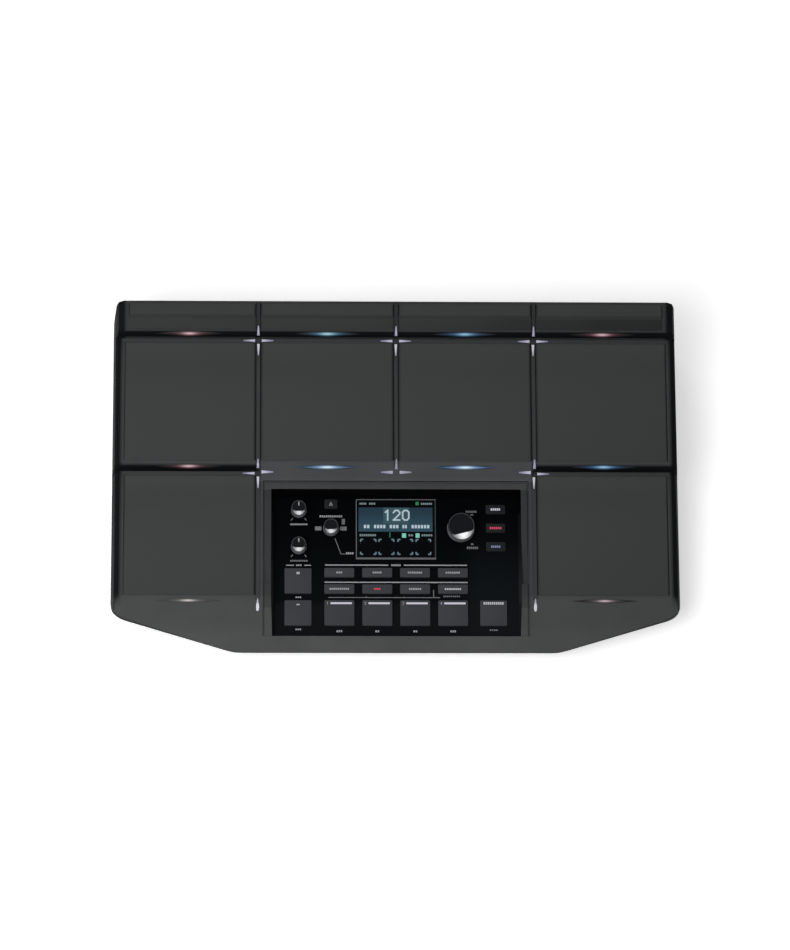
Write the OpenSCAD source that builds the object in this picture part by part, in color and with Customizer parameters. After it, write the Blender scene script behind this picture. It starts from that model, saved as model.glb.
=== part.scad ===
// Sampling drum pad: three stepped ranks of rubber pads round a sunken control panel.
// Millimetres, +X right, +Y to the rear, +Z up, origin under the middle of the body.
// The playing deck leans by deck_tilt. Inside on_deck(), y runs along the deck and z stands square to it,
// with zero where the middle rank steps down to the front rank.

/* [Deck] */
// Tilt of the playing deck, rear edge high, in degrees
deck_tilt = 5; // [4:0.5:6]
// Height of the front rank's rear edge above the table
deck_height = 48; // [47:0.5:54]
// Height of each rank above the rank in front of it
level_step = 10; // [9:0.5:12]

/* [Pads] */
// Distance between the middles of neighbouring pads, side to side
pad_pitch = 103.4; // [103:0.2:106]
// Length of a square pad, front to rear
pad_depth = 92.5; // [91:0.5:94]
// Flat frame ledge behind each rank of pads
ledge_depth = 2.7; // [2.4:0.1:3.4]
// Frame rail in front of each rank, where the indicator lamps sit
rail_depth = 5.5; // [5.2:0.1:6.4]
// Radius of the rolled front of a rail
nose_radius = 4.5; // [3.5:0.1:5]
// Width of the frame rib between two pads
rib_width = 2.8; // [2.6:0.1:3.2]
// Gap between a pad and the frame round it
pad_gap = 0.4; // [0.35:0.05:0.6]
// Thickness of a pad's rubber
pad_thickness = 4; // [3:0.25:4.5]
// Radius of a pad's side edges
pad_round = 1.8; // [1:0.1:2.4]
// How far a struck pad sinks
pad_travel = 0.4; // [0.3:0.05:0.5]
// Clearance left under a pad that is pressed all the way
pad_rest_gap = 0.3; // [0.3:0.05:0.4]
// Thickness of the pressure sensing sheet under a pad
sheet_thickness = 0.6; // [0.4:0.1:1]
// Thickness of the steel plate under a sensing sheet
plate_thickness = 1.5; // [1:0.25:2]
// Thickness of the frame's floor under a plate
tray_floor = 2; // [1.6:0.1:2.4]
// Reach of an outer pad from the middle of the body
outer_pad_reach = 203.6; // [202:0.2:204]

/* [Rear bars] */
// Height of the bars' ridge above the middle rank
ridge_rise = 14; // [12:0.5:16]
// Flat top of the ridge, front to rear
ridge_depth = 9; // [8:0.5:10]
// Height of the bars' front edge above the middle rank
bar_front_rise = 9; // [8:0.5:10]
// Soft step in front of the ridge, front to rear
ridge_step_depth = 2.6; // [2:0.2:3]
// Drop of that soft step
ridge_step_drop = 1.5; // [1:0.1:2]
// Sloping facet in front of the soft step, front to rear
bar_facet_depth = 7.4; // [6.6:0.2:8.4]
// Frame rim behind the ridge
rear_rim = 2.2; // [2:0.1:2.6]
// Reach of an outer bar from the middle of the body
outer_bar_reach = 200.5; // [199:0.5:201]
// Half width of the body at the top of the ridge
ridge_half_width = 203.2; // [202.6:0.2:204]

/* [Body] */
// Half width of the body at its widest line
body_half_width = 213.3; // [213:0.1:216]
// Half width of the flat deck, where its side shoulders begin
deck_half_width = 205.8; // [205:0.2:206.4]
// Radius of the side shoulders
shoulder_radius = 5; // [3:0.5:6]
// Front edge of the body, measured along the deck
front_reach = 137; // [136:0.5:140]
// Where the slanted front corners meet the sides, measured along the deck
corner_reach = 109.2; // [106:0.2:112]
// Half length of the straight front edge between the slants
front_half_width = 121; // [118:0.5:124]
// Drop of the apron from the front rank to the front edge
apron_drop = 8; // [6.5:0.25:9]
// Lean of the wall under the front edge, in degrees
undercut = 27; // [24:1:28]
// Lean of the lower side walls, in degrees
side_lean = 14; // [8:1:18]
// Depth of the line between the frame and the bottom case, below the front rank
parting_depth = 22; // [21.5:0.25:23]
// Thickness of the walls and of the floor
wall = 2.5; // [2.2:0.1:3]
// Radius of the rear corners in plan
rear_corner_radius = 6; // [4:1:14]
// Radius where the slants meet the sides
side_corner_radius = 17; // [8:0.5:18]
// Radius where the slants meet the front edge
front_corner_radius = 57; // [40:1:70]

/* [Control recess] */
// Depth of the panel below the front rank
panel_depth = 12; // [11:0.5:13]
// Half width of the panel that shows
panel_half_width = 91.7; // [91:0.1:93]
// Rear edge of the panel that shows, measured from the rank step
panel_rear = 17.2; // [16.8:0.1:18]
// Frame left in front of the recess
front_lip = 12.1; // [11.6:0.1:13]
// How much wider the recess is at its top, on each side
recess_side_draft = 1.8; // [1:0.1:2.6]
// How much further back the recess reaches at its top
recess_rear_draft = 4.1; // [3:0.1:4.6]
// Width of the sunken bezel round the recess
bezel_width = 4.4; // [3.6:0.1:4.6]
// Depth of the bezel below the frame
bezel_drop = 0.6; // [0.3:0.1:1]
// Width of the groove outside the bezel
groove_width = 1.6; // [1.2:0.1:2]
// Depth of the groove outside the bezel
groove_drop = 1.8; // [1.2:0.1:2.4]
// Depth of the ramped notch in each side of the bezel
notch_drop = 2.6; // [1.5:0.1:3]
// Where the notch begins, measured from the rank step
notch_start = 51; // [48:1:54]
// Where the notch ends
notch_end = 86; // [82:1:90]

/* [Panel] */
// Thickness of the panel plate
panel_thickness = 2.5; // [2:0.1:3]
// How far the plate reaches under the frame
panel_lap = 3; // [2:0.25:3.5]
// Width of the display window
window_width = 60; // [58:0.5:62]
// Height of the display window along the deck
window_depth = 46.6; // [45:0.2:48]
// Space between the panel's rear edge and the display window
window_gap_rear = 0.9; // [0.6:0.1:1.6]
// Thickness of the display window
window_thickness = 1.2; // [0.8:0.1:1.6]
// Thickness of the display under its window
display_thickness = 3.4; // [3:0.1:4]
// Gap round a button in the panel
button_gap = 0.35; // [0.3:0.05:0.45]
// Height of the buttons above the panel
button_rise = 1.4; // [1:0.1:2]
// Travel of a button
button_travel = 0.4; // [0.3:0.05:0.5]
// Corner radius of a button
button_round = 0.9; // [0.5:0.1:1.4]
// Width of the flange that keeps a button under the panel
button_flange = 1.1; // [0.8:0.1:1.3]
// Width of a button in the two button rows, and of a track button
key_width = 22.4; // [21:0.2:23.4]
// Distance between neighbours in a button row
key_pitch = 28.3; // [27.8:0.1:28.8]
// Length of a row button, along the deck
key_depth = 7.2; // [6.4:0.2:7.8]
// Length of a square button, along the deck
square_depth = 19.5; // [18.5:0.5:20]
// Width of the square buttons at the panel's sides
side_square_width = 20.2; // [19:0.2:21]
// Distance of the left square buttons from the middle
left_square_x = 73.3; // [73:0.1:73.8]
// Distance of the right square button from the middle
right_square_x = 72.7; // [71.8:0.1:73.4]
// Width of the small buttons beside the large knob
small_key_width = 14.7; // [14:0.1:15.4]
// Distance of the small buttons from the middle
small_key_x = 74.8; // [74.2:0.1:75.4]
// Distance between the small buttons, along the deck
small_key_pitch = 14.4; // [13.8:0.1:15]
// Width of the click button over the metronome knob
click_key_width = 9.8; // [9:0.1:10.4]
// Distance between the two left square buttons, along the deck
square_pitch = 24.6; // [24:0.1:25]
// Distance of the click button behind the display's middle
click_key_row = 19.1; // [18.8:0.1:19.6]

/* [Knobs] */
// Radius of a small knob
small_knob_radius = 6.2; // [5.4:0.1:6.4]
// Height of a small knob
small_knob_height = 12; // [11:0.5:13]
// Radius of the large knob
large_knob_radius = 10.7; // [9.8:0.1:11]
// Height of the large knob
large_knob_height = 12; // [11:0.5:14]
// Distance of the two level knobs from the middle
level_knob_x = 72.8; // [72:0.2:74]
// Distance between the two level knobs, along the deck
level_knob_pitch = 28.1; // [26:0.1:29]
// Distance of the metronome knob and of the large knob from the middle
inner_knob_x = 48.7; // [48:0.1:50]
// Gap between a knob and the panel
knob_gap = 0.9; // [0.8:0.1:1]
// Travel of a knob that can be pushed
push_travel = 0.5; // [0.3:0.1:0.5]
// Radius of a knob's shaft
shaft_radius = 3; // [2.5:0.1:3.2]
// Running clearance round a shaft
shaft_clearance = 0.05; // [0.03:0.01:0.08]

/* [Lamps] */
// Length of an indicator lens
lens_length = 49; // [40:1:52]
// Width of an indicator lens at its middle
lens_width = 2.8; // [2.2:0.1:3]
// Depth of the lenses and light guides in the frame
lens_depth = 2.4; // [2:0.1:3]
// Distance of the lens middle line behind the foot of the rail
lens_setback = 1.6; // [1.5:0.1:2]
// Distance of the crosses in front of the step, on the ledge
cross_setback = 1.4; // [1.3:0.05:1.5]
// Where the arms of a cross begin, from its middle
cross_hole = 2.6; // [2.2:0.1:3.2]
// Where the arms of a cross end
cross_reach = 11.4; // [10:0.2:12]
// Width of an arm where it begins
cross_width = 1.9; // [1.2:0.1:2]
// Width of an arm where it ends
cross_tip = 0.8; // [0.5:0.1:1]

/* [Inside and rear] */
// Height of the case floor above the table
foot_height = 3.5; // [3:0.25:4.5]
// Radius of a rubber foot
foot_radius = 9; // [7:0.5:11]
// Height of the jack board above the case floor
board_rise = 7; // [5.5:0.25:8]
// Thickness of the circuit boards
board_thickness = 1.6; // [1.2:0.1:2]
// Depth of the panel board below the front rank
panel_board_depth = 22; // [21.5:0.1:22.5]
// Radius of the bore of an audio jack
jack_radius = 3.25; // [3.2:0.05:3.3]
// Width of the body of an audio jack
jack_width = 14; // [12:0.5:15]
// Length of an audio jack behind the rear wall
jack_length = 24; // [20:0.5:26]
// Distance between neighbouring audio jacks
jack_pitch = 22; // [20:0.5:23]
// Width of the main board
main_board_width = 296; // [260:2:300]
// Depth of the main board
main_board_depth = 130; // [110:2:136]
// Depth of the jack board
jack_board_depth = 32; // [30:0.5:36]
// Distance of the case screws from the sides
screw_inset = 21.3; // [20:0.1:24]
// Distance of the feet from the sides
foot_inset = 45.3; // [40:0.1:50]
// Radius of the bore of a round control socket
din_radius = 6.9; // [6.75:0.05:7]
// Distance between the stand inserts, side to side
stand_width = 120; // [80:5:140]
// Distance between the stand inserts, front to rear
stand_depth = 60; // [50:5:70]
// Radius of the hole in a stand insert
stand_hole_radius = 2.5; // [2:0.05:3]

/* [Hidden] */
eps = 0.01;
far = 400;
arc_steps = 8;

// The panel reaches from the bezel to the lip. Its free length is shared out round the button rows,
// from the display window to the front edge
panel_front = front_reach - front_lip;
display_middle = panel_rear + window_gap_rear + window_depth / 2;
row_shares = [0.2586, 0.2053, 0.192];
free_length = panel_front - display_middle - window_depth / 2 - 2 * key_depth - square_depth;
upper_row = window_depth / 2 + row_shares[0] * free_length + key_depth / 2;
lower_row = upper_row + row_shares[1] * free_length + key_depth;
square_row = lower_row + row_shares[2] * free_length + key_depth / 2 + square_depth / 2;
upper_square_row = square_row - square_pitch;

row_pitch = ledge_depth + pad_depth + rail_depth;
columns = [-1.5, -0.5, 0.5, 1.5];
ridge_z = level_step + ridge_rise;
bar_front_z = level_step + bar_front_rise;
bar_front_y = row_pitch + nose_radius;
ridge_front_y = bar_front_y + bar_facet_depth + ridge_step_depth;
ridge_rear_y = ridge_front_y + ridge_depth;
rear_y = ridge_rear_y + rear_rim;
rear_round = 1.2;
parting_z = -parting_depth;
panel_z = -panel_depth;
tray_depth = pad_thickness + pad_travel + pad_rest_gap + sheet_thickness + plate_thickness;
bar_bottom_z = bar_front_z - pad_thickness;
fold_y = rail_depth - row_pitch;
apron_slope = apron_drop / (front_reach + fold_y);
lip_z = -apron_drop - 1.5;

// Slanted front corners: slope, direction and distance of the slant from the deck's zero point
slant = (front_reach - corner_reach) / (body_half_width - front_half_width);
slant_angle = atan(slant);
slant_distance = (corner_reach + slant * body_half_width) * cos(slant_angle);

// The deck is placed so that the body's box is centred on the origin
front_overhang = front_reach * cos(deck_tilt) + apron_drop * sin(deck_tilt) * -1;
rear_overhang = rear_y * cos(deck_tilt) + parting_depth * sin(deck_tilt);
deck_y = (front_overhang - rear_overhang) / 2;

display_y = -display_middle;
panel_bottom_z = panel_z - panel_thickness;
panel_board_z = -panel_board_depth;
tact_size = 6;
tact_height = 3.5;
tact_plunger_radius = 1.7;
stem_radius = 2;
press_gap = 0.3;
flange_gap = 0.35;
flange_thickness = 1;
plunger_top_z = panel_bottom_z - flange_gap - flange_thickness - 1 - button_travel - press_gap;

rear_wall_y = deck_y + rear_overhang - 2.2;
floor_z = foot_height + wall;
jack_board_z = floor_z + board_rise;
jack_z = jack_board_z + jack_width / 2;

// Panel controls as [x, y, width, depth], measured on the panel
function row_keys(row, depth) = [for (c = columns) [c * key_pitch, display_y - row, key_width, depth]];
upper_keys = row_keys(upper_row, key_depth);
lower_keys = row_keys(lower_row, key_depth);
track_keys = row_keys(square_row, square_depth);
left_keys = [
    [-left_square_x, display_y - upper_square_row, side_square_width, square_depth],
    [-left_square_x, display_y - square_row, side_square_width, square_depth]
];
right_key = [right_square_x, display_y - square_row, side_square_width, square_depth];
small_keys = [for (i = [1, 0, -1]) [small_key_x, display_y + 0.8 + i * small_key_pitch, small_key_width, key_depth]];
click_key = [-inner_knob_x, display_y + click_key_row, click_key_width, key_depth];
all_keys = concat(upper_keys, lower_keys, track_keys, left_keys, [right_key], small_keys, [click_key]);
phones_knob_at = [-level_knob_x, display_y + level_knob_pitch / 2];
main_knob_at = [-level_knob_x, display_y - level_knob_pitch / 2];
click_knob_at = [-inner_knob_x, display_y];
value_knob_at = [inner_knob_x, display_y];
knob_places = [phones_knob_at, main_knob_at, click_knob_at, value_knob_at];

// Rear sockets, as shares of the jack board's half width, with the audio jacks in the middle
jack_board_half = body_half_width - screw_inset - 2;
jack_places = [for (i = [-3.5:3.5]) i * jack_pitch];
din_places = [for (share = [-0.7, -0.57]) share * jack_board_half];
usb_a_x = -0.937 * jack_board_half;
usb_b_x = -0.845 * jack_board_half;
dc_x = 0.737 * jack_board_half;
power_x = 0.895 * jack_board_half;

screw_side = body_half_width - screw_inset;
screw_rear = rear_wall_y - wall - jack_board_depth - 11;
screw_corner = [screw_side - 4, -corner_reach + 17.2];
screw_front = [pad_pitch, -front_reach + 22];
screw_quarter = [[screw_side, screw_rear], [screw_side, 0], screw_corner, screw_front, [pad_pitch, screw_rear]];
screw_places = [for (side = [-1, 1], at = screw_quarter) [side * at[0], at[1]]];
board_middle = 5;
post_inset = 9;
post_x = main_board_width / 2 - post_inset;
post_y = main_board_depth / 2 - post_inset;
board_posts = [for (x = [-post_x, 0, post_x], y = [-post_y, post_y]) [x, board_middle + y]];
jack_board_posts = [for (share = [-0.95, -0.48, 0.62, 0.95]) share * jack_board_half];
foot_x = body_half_width - foot_inset;
foot_places = [for (x = [-foot_x, foot_x], y = [-corner_reach + 25.2, rear_wall_y - 25.5]) [x, y]];

// Shared shapes

module on_deck() {
    translate([0, deck_y, deck_height]) rotate([deck_tilt, 0, 0]) children();
}

// Extrudes a side view, drawn as [y, z], across the body
module across(half_width) {
    rotate([90, 0, 90]) translate([0, 0, -half_width]) linear_extrude(2 * half_width) children();
}

// Extrudes a front view, drawn as [x, z], from y0 to y1
module along(y0, y1) {
    translate([0, y1, 0]) rotate([90, 0, 0]) linear_extrude(y1 - y0) children();
}

// A box from its low corner to its high corner
module box(low, high) {
    translate(low) cube(high - low);
}

// Points of an arc about a centre
function arc(centre, radius, from, to) = [
    for (i = [0:arc_steps])
    let (a = from + (to - from) * i / arc_steps)
    centre + radius * [cos(a), sin(a)]
];

// The corner b of an outline, rounded towards its neighbours a and c
function corner(a, b, c, radius) =
    let (
        u = (a - b) / norm(a - b),
        v = (c - b) / norm(c - b),
        half = acos(u * v) / 2,
        middle = b + (u + v) / norm(u + v) * radius / sin(half),
        start = b + u * radius / tan(half) - middle,
        end = b + v * radius / tan(half) - middle,
        a0 = atan2(start[1], start[0]),
        turn = atan2(end[1], end[0]) - a0,
        sweep = turn > 180 ? turn - 360 : turn < -180 ? turn + 360 : turn
    )
    arc(middle, radius, a0, a0 + sweep);

function rounded(points, radii) = [
    for (i = [0:len(points) - 1])
    let (n = len(points))
    each corner(points[(i + n - 1) % n], points[i], points[(i + 1) % n], radii[i])
];

function mirrored(points) = [for (i = [len(points) - 1:-1:0]) [-points[i][0], points[i][1]]];

// The body's outline seen square to the deck, drawn in by inset
function slant_y(inset) = -corner_reach - slant * inset + inset / cos(slant_angle);
function slant_x(inset) = front_half_width + (inset - inset / cos(slant_angle)) / slant;
function body_outline(inset) = rounded(
    [
        [body_half_width - inset, rear_y - inset],
        [-body_half_width + inset, rear_y - inset],
        [-body_half_width + inset, slant_y(inset)],
        [-slant_x(inset), -front_reach + inset],
        [slant_x(inset), -front_reach + inset],
        [body_half_width - inset, slant_y(inset)]
    ],
    [
        rear_corner_radius - inset, rear_corner_radius - inset,
        side_corner_radius - inset, front_corner_radius - inset,
        front_corner_radius - inset, side_corner_radius - inset
    ]
);

// The space behind the leaning walls under the front edge and its slants
module inside_undercut(inset) {
    for_sides = [[0, front_reach], [slant_angle, slant_distance], [-slant_angle, slant_distance]];
    intersection_for(side = for_sides) {
        rotate([0, 0, side[0]]) across(far) polygon([
            [far, far],
            [inset - side[1], far],
            [inset - side[1], lip_z],
            [inset - side[1] + far / 4 * tan(undercut), lip_z - far / 4],
            [far, lip_z - far / 4]
        ]);
    }
}

// Top frame

// Side view of the deck over the outer columns, lowered by drop
function deck_profile(drop) = concat(
    [[rear_y, -far / 4]],
    [for (p = arc([rear_y - rear_round, ridge_z - rear_round], rear_round, 0, 90)) p - [0, drop]],
    [
        [ridge_front_y, ridge_z - drop],
        [ridge_front_y - ridge_step_depth, ridge_z - ridge_step_drop - drop]
    ],
    [for (p = arc([bar_front_y, bar_front_z - nose_radius], nose_radius, 90, 180)) p - [0, drop]],
    [[row_pitch, level_step - drop], [rail_depth, level_step - drop]],
    [for (p = arc([nose_radius, level_step - nose_radius], nose_radius, 90, 180)) p - [0, drop]],
    [
        [0, -drop],
        [fold_y, -drop],
        [-front_reach - 1, -(front_reach + 1 + fold_y) * apron_slope - drop],
        [-front_reach - 1, -far / 4]
    ]
);

// Side view in front of the two middle pads, where the frame slopes down to the control recess
slope_foot = [-4, 1.5];
slope_end = [-6.2, 0];
function slope_profile(drop) = concat(
    [[rear_y, -far / 4]],
    [for (p = arc([rear_y - rear_round, ridge_z - rear_round], rear_round, 0, 90)) p - [0, drop]],
    [
        [ridge_front_y, ridge_z - drop],
        [ridge_front_y - ridge_step_depth, ridge_z - ridge_step_drop - drop]
    ],
    [for (p = arc([bar_front_y, bar_front_z - nose_radius], nose_radius, 90, 180)) p - [0, drop]],
    [[row_pitch, level_step - drop], [rail_depth - 0.5, level_step - drop]],
    [slope_foot - [0, drop], slope_end - [0, drop]],
    [
        [fold_y, -drop],
        [-front_reach - 1, -(front_reach + 1 + fold_y) * apron_slope - drop],
        [-front_reach - 1, -far / 4]
    ]
);

// The middle of the frame, between the two ribs beside the control recess
slope_half_width = pad_pitch - rib_width / 2;

module deck_solid(drop) {
    intersection() {
        across(far) polygon(slope_profile(drop));
        box([-slope_half_width, -far, -far / 2], [slope_half_width, far, far / 2]);
    }
    intersection() {
        across(far) polygon(deck_profile(drop));
        union() {
            box([-far, -far, -far / 2], [-slope_half_width, far, far / 2]);
            box([slope_half_width, -far, -far / 2], [far, far, far / 2]);
        }
    }
}

// Front view of a rank whose top is at top_z, with round shoulders
function shoulder_half(top_z) = concat(
    [[body_half_width, parting_z - eps]],
    arc([deck_half_width, top_z - shoulder_radius], shoulder_radius, 0, 90)
);

module rank_section(top_z) {
    right = shoulder_half(top_z);
    polygon(concat(right, mirrored(right)));
}

// Front view of the bars, whose ends curve in to the ridge
module bar_section() {
    side = deck_half_width + shoulder_radius;
    right = [
        [body_half_width, parting_z - eps],
        [side, level_step - shoulder_radius],
        [side - 0.6, ridge_z - 12],
        [side - 2.5, ridge_z - 5],
        [ridge_half_width, ridge_z]
    ];
    polygon(concat(right, mirrored(right)));
}

module frame_outside() {
    intersection() {
        translate([0, 0, parting_z]) linear_extrude(far / 4) polygon(body_outline(0));
        inside_undercut(0);
        deck_solid(0);
        union() {
            along(-far, 0) rank_section(0);
            intersection() {
                along(-far, 0) rank_section(level_step);
                box([-slope_half_width, -far, -far / 2], [slope_half_width, far, far / 2]);
            }
            along(-eps, row_pitch) rank_section(level_step);
            along(row_pitch - eps, far) bar_section();
        }
    }
}

// Plan limits of the pads in column c, from the middle of the body
function pad_left(c) = c == -1.5 ? -outer_pad_reach : c * pad_pitch - pad_pitch / 2 + rib_width / 2 + pad_gap;
function pad_right(c) = c == 1.5 ? outer_pad_reach : c * pad_pitch + pad_pitch / 2 - rib_width / 2 - pad_gap;
function bar_left(c) = c == -1.5 ? -outer_bar_reach : pad_left(c);
function bar_right(c) = c == 1.5 ? outer_bar_reach : pad_right(c);
bar_pad_front = bar_front_y + pad_gap;
bar_pad_rear = ridge_rear_y - pad_gap;

// Every pad as [low x, low y, high x, high y, height of its top or of its tray's reference]
middle_y = [rail_depth + pad_gap, rail_depth + pad_depth - pad_gap];
front_y = [fold_y + pad_gap, fold_y + pad_depth - pad_gap];
function bar_plan(c) = [bar_left(c), bar_pad_front, bar_right(c), bar_pad_rear, bar_front_z];
function middle_plan(c) = [pad_left(c), middle_y[0], pad_right(c), middle_y[1], level_step];
function front_plan(c) = [pad_left(c), front_y[0], pad_right(c), front_y[1], 0];
pad_plans = concat(
    [for (c = columns) bar_plan(c)],
    [for (c = columns) middle_plan(c)],
    [front_plan(-1.5), front_plan(1.5)]
);

// A block over a pad's plan, drawn in by inset, between two heights
module over_plan(plan, inset, z0, z1) {
    box([plan[0] + inset, plan[1] + inset, z0], [plan[2] - inset, plan[3] - inset, z1]);
}

// Space under the decks, where boards and cables lie
bay_side = panel_half_width + recess_side_draft + bezel_width + groove_width + 0.4;
bay_x = deck_half_width - 2.6;
under_front = -tray_depth - tray_floor;
under_middle = level_step - tray_depth - tray_floor;
under_bars = bar_front_z - tray_depth - tray_floor;
bulkhead = 3;
module frame_inside() {
    for (side = [-1, 1]) {
        box_x = side > 0 ? [bay_side, bay_x] : [-bay_x, -bay_side];
        intersection() {
            box([box_x[0], -front_reach, parting_z - 1], [box_x[1], -bulkhead, under_front]);
            translate([0, 0, parting_z - 2]) linear_extrude(far / 4) polygon(body_outline(wall + 1.5));
            inside_undercut(wall + 2);
            across(far) polygon([
                [far, -far / 4], [far, 0], [fold_y, under_front],
                [-front_reach, under_front - (front_reach + fold_y) * apron_slope], [-front_reach, -far / 4]
            ]);
        }
    }
    box([-bay_x, bulkhead / 2, parting_z - 1], [bay_x, rear_y - wall, under_middle]);
    box([-bay_x + 4, row_pitch + wall, parting_z - 1], [bay_x - 4, rear_y - wall, under_bars]);
    box([-bay_side, -slope_run, parting_z - 1], [bay_side, bulkhead / 2 + eps, panel_z]);
    panel_bay();
}
slope_run = 8;

// Room for the control panel and its board, open below
plate_half_width = panel_half_width + panel_lap;
plate_rear_y = -panel_rear + panel_lap;
plate_front_y = -panel_front - panel_lap / 2;
plate_gap = 0.2;
module panel_bay() {
    intersection() {
        box(
            [-plate_half_width - plate_gap, plate_front_y - plate_gap, parting_z - 1],
            [plate_half_width + plate_gap, -slope_run + eps, panel_z]
        );
        inside_undercut(wall);
    }
}

// The open well over the panel, wider at its top
module panel_well() {
    top = far / 10;
    side = recess_side_draft / panel_depth;
    back = recess_rear_draft / panel_depth;
    intersection() {
        along(-panel_front, 0) polygon([
            [-panel_half_width, panel_z - eps],
            [panel_half_width, panel_z - eps],
            [panel_half_width + side * (top - panel_z), top],
            [-panel_half_width - side * (top - panel_z), top]
        ]);
        across(far) polygon([
            [-panel_front, panel_z - eps],
            [-panel_rear, panel_z - eps],
            [-panel_rear + back * (top - panel_z), top],
            [-panel_front, top]
        ]);
    }
}

// A frame-shaped strip round the well, from the well out to reach
module well_surround(reach, rear_reach, front_reach_in) {
    half = panel_half_width + recess_side_draft + reach;
    box([-half, -panel_front - front_reach_in, -far / 4], [half, -panel_rear + recess_rear_draft + rear_reach, 4]);
}

module bezel_cuts() {
    difference() {
        well_surround(bezel_width + groove_width, bezel_width + groove_width, 0);
        deck_solid(bezel_drop);
    }
    difference() {
        well_surround(bezel_width + groove_width, bezel_width + groove_width, 0);
        well_surround(bezel_width, bezel_width, 1);
        deck_solid(groove_drop);
    }
    for (side = [-1, 1]) {
        x = side * (panel_half_width + recess_side_draft + bezel_width / 2);
        translate([x, 0, 0]) across(bezel_width / 2 + eps) polygon([
            [-notch_start, -bezel_drop], [-notch_end, -bezel_drop - notch_drop], [-notch_end, 3], [-notch_start, 3]
        ]);
    }
}

// Plan outline of an indicator lens, two arcs that meet at its ends
lens_rise = lens_width / 2;
lens_radius = (lens_length * lens_length / 4 + lens_rise * lens_rise) / (2 * lens_rise);
lens_half_angle = asin(lens_length / 2 / lens_radius);
module lens_outline(extra) {
    low = [0, lens_rise - lens_radius];
    upper = arc(low, lens_radius, 90 - lens_half_angle, 90 + lens_half_angle);
    offset_end = [extra * 2, 0];
    polygon(concat(
        [[lens_length / 2, 0] + offset_end],
        [for (i = [1:arc_steps - 1]) upper[i] + [0, extra]],
        [[-lens_length / 2, 0] - offset_end],
        [for (i = [1:arc_steps - 1]) -upper[i] - [0, extra]]
    ));
}

lens_places = concat(
    [for (c = columns) [c * pad_pitch, row_pitch + lens_setback]],
    [for (c = columns) [c * pad_pitch, lens_setback]],
    [for (c = [-1.5, 1.5]) [c * pad_pitch, lens_setback - row_pitch]]
);

module lens_columns(extra) {
    for (at = lens_places) {
        translate([at[0], at[1], -far / 8]) linear_extrude(far / 4) lens_outline(extra);
    }
}

// One arm of a light cross, pointing along +X from its middle
module cross_arm(extra, start, reach) {
    polygon([
        [start - extra, -cross_width / 2 - extra],
        [reach + extra, -cross_tip / 2 - extra],
        [reach + extra, cross_tip / 2 + extra],
        [start - extra, cross_width / 2 + extra]
    ]);
}

// The crosses as [x, y, directions of the arms]
upper_cross_y = row_pitch - cross_setback;
lower_cross_y = -cross_setback;
crosses = concat(
    [for (x = [-pad_pitch, 0, pad_pitch]) [x, upper_cross_y, [0, 180, 270]]],
    [for (x = [-pad_pitch, pad_pitch]) [x, lower_cross_y, [0, 180, 270]]],
    [[0, lower_cross_y, [0, 180]]]
);
rear_arm_start = 2;
rear_arm_reach = 8.5;
end_arm_y = -row_pitch - cross_setback;
end_arm_half = 4.6;

// The single mark beside each front corner of the control recess, a drop with its point to the rear
module end_drop(extra) {
    half = [
        [cross_tip / 4 + extra, end_arm_half + extra],
        [cross_width * 0.6 + extra, -end_arm_half * 0.3],
        [cross_width * 0.5 + extra, -end_arm_half * 0.8],
        [cross_tip / 2 + extra, -end_arm_half - extra]
    ];
    polygon(concat(half, mirrored(half)));
}

module cross_columns(extra) {
    translate([0, 0, -far / 8]) linear_extrude(far / 4) {
        for (cross = crosses) {
            translate([cross[0], cross[1]]) {
                for (angle = cross[2]) {
                    rotate(angle) cross_arm(extra, cross_hole, cross_reach);
                }
                rotate(90) cross_arm(extra, rear_arm_start, rear_arm_reach);
            }
        }
        for (side = [-1, 1]) {
            translate([side * pad_pitch, end_arm_y]) {
                end_drop(extra);
            }
        }
    }
}

lamp_clearance = 0.04;
module lamp_pockets() {
    intersection() {
        union() {
            lens_columns(lamp_clearance);
            cross_columns(lamp_clearance);
        }
        difference() {
            box([-far, -far, -far / 8], [far, far, far / 8]);
            deck_solid(lens_depth + lamp_clearance);
        }
    }
}

// Bosses that take the case screws, drawn in the body's own upright directions
screw_radius = 1.5;
screw_boss_radius = 4;
screw_grip = 8;
screw_pilot = 0.02;
module upright() {
    rotate([-deck_tilt, 0, 0]) translate([0, -deck_y, -deck_height]) children();
}

function parting_height(y) = deck_height + (y - deck_y) * tan(deck_tilt) + parting_z / cos(deck_tilt);

module screw_bosses() {
    intersection() {
        upright() for (at = screw_places) {
            translate([at[0], at[1], 0]) cylinder(r = screw_boss_radius, h = far / 4, $fn = 48);
        }
        frame_outside();
    }
}

module screw_pilots() {
    upright() for (at = screw_places) {
        translate([at[0], at[1], 0]) {
            cylinder(r = screw_radius + screw_pilot, h = parting_height(at[1]) + screw_grip + 1, $fn = 32);
        }
    }
}

module top_frame() {
    color("#3c3d3f") on_deck() difference() {
        union() {
            difference() {
                frame_outside();
                frame_inside();
            }
            screw_bosses();
        }
        for (plan = pad_plans) {
            over_plan(plan, -pad_gap, plan[4] - tray_depth, far / 10);
        }
        panel_well();
        panel_bay();
        bezel_cuts();
        lamp_pockets();
        screw_pilots();
    }
}

// Bottom case

module case_body(inset) {
    intersection() {
        on_deck() intersection() {
            translate([0, 0, -far / 4]) linear_extrude(far / 4 + parting_z) polygon(body_outline(inset));
            inside_undercut(inset);
            along(-far, far) polygon([
                [body_half_width - inset, parting_z],
                [body_half_width - inset - far / 4 * tan(side_lean), parting_z - far / 4],
                [-body_half_width + inset + far / 4 * tan(side_lean), parting_z - far / 4],
                [-body_half_width + inset, parting_z]
            ]);
        }
        box([-far, -far, foot_height + inset], [far, rear_wall_y - inset, far]);
    }
}

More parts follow.
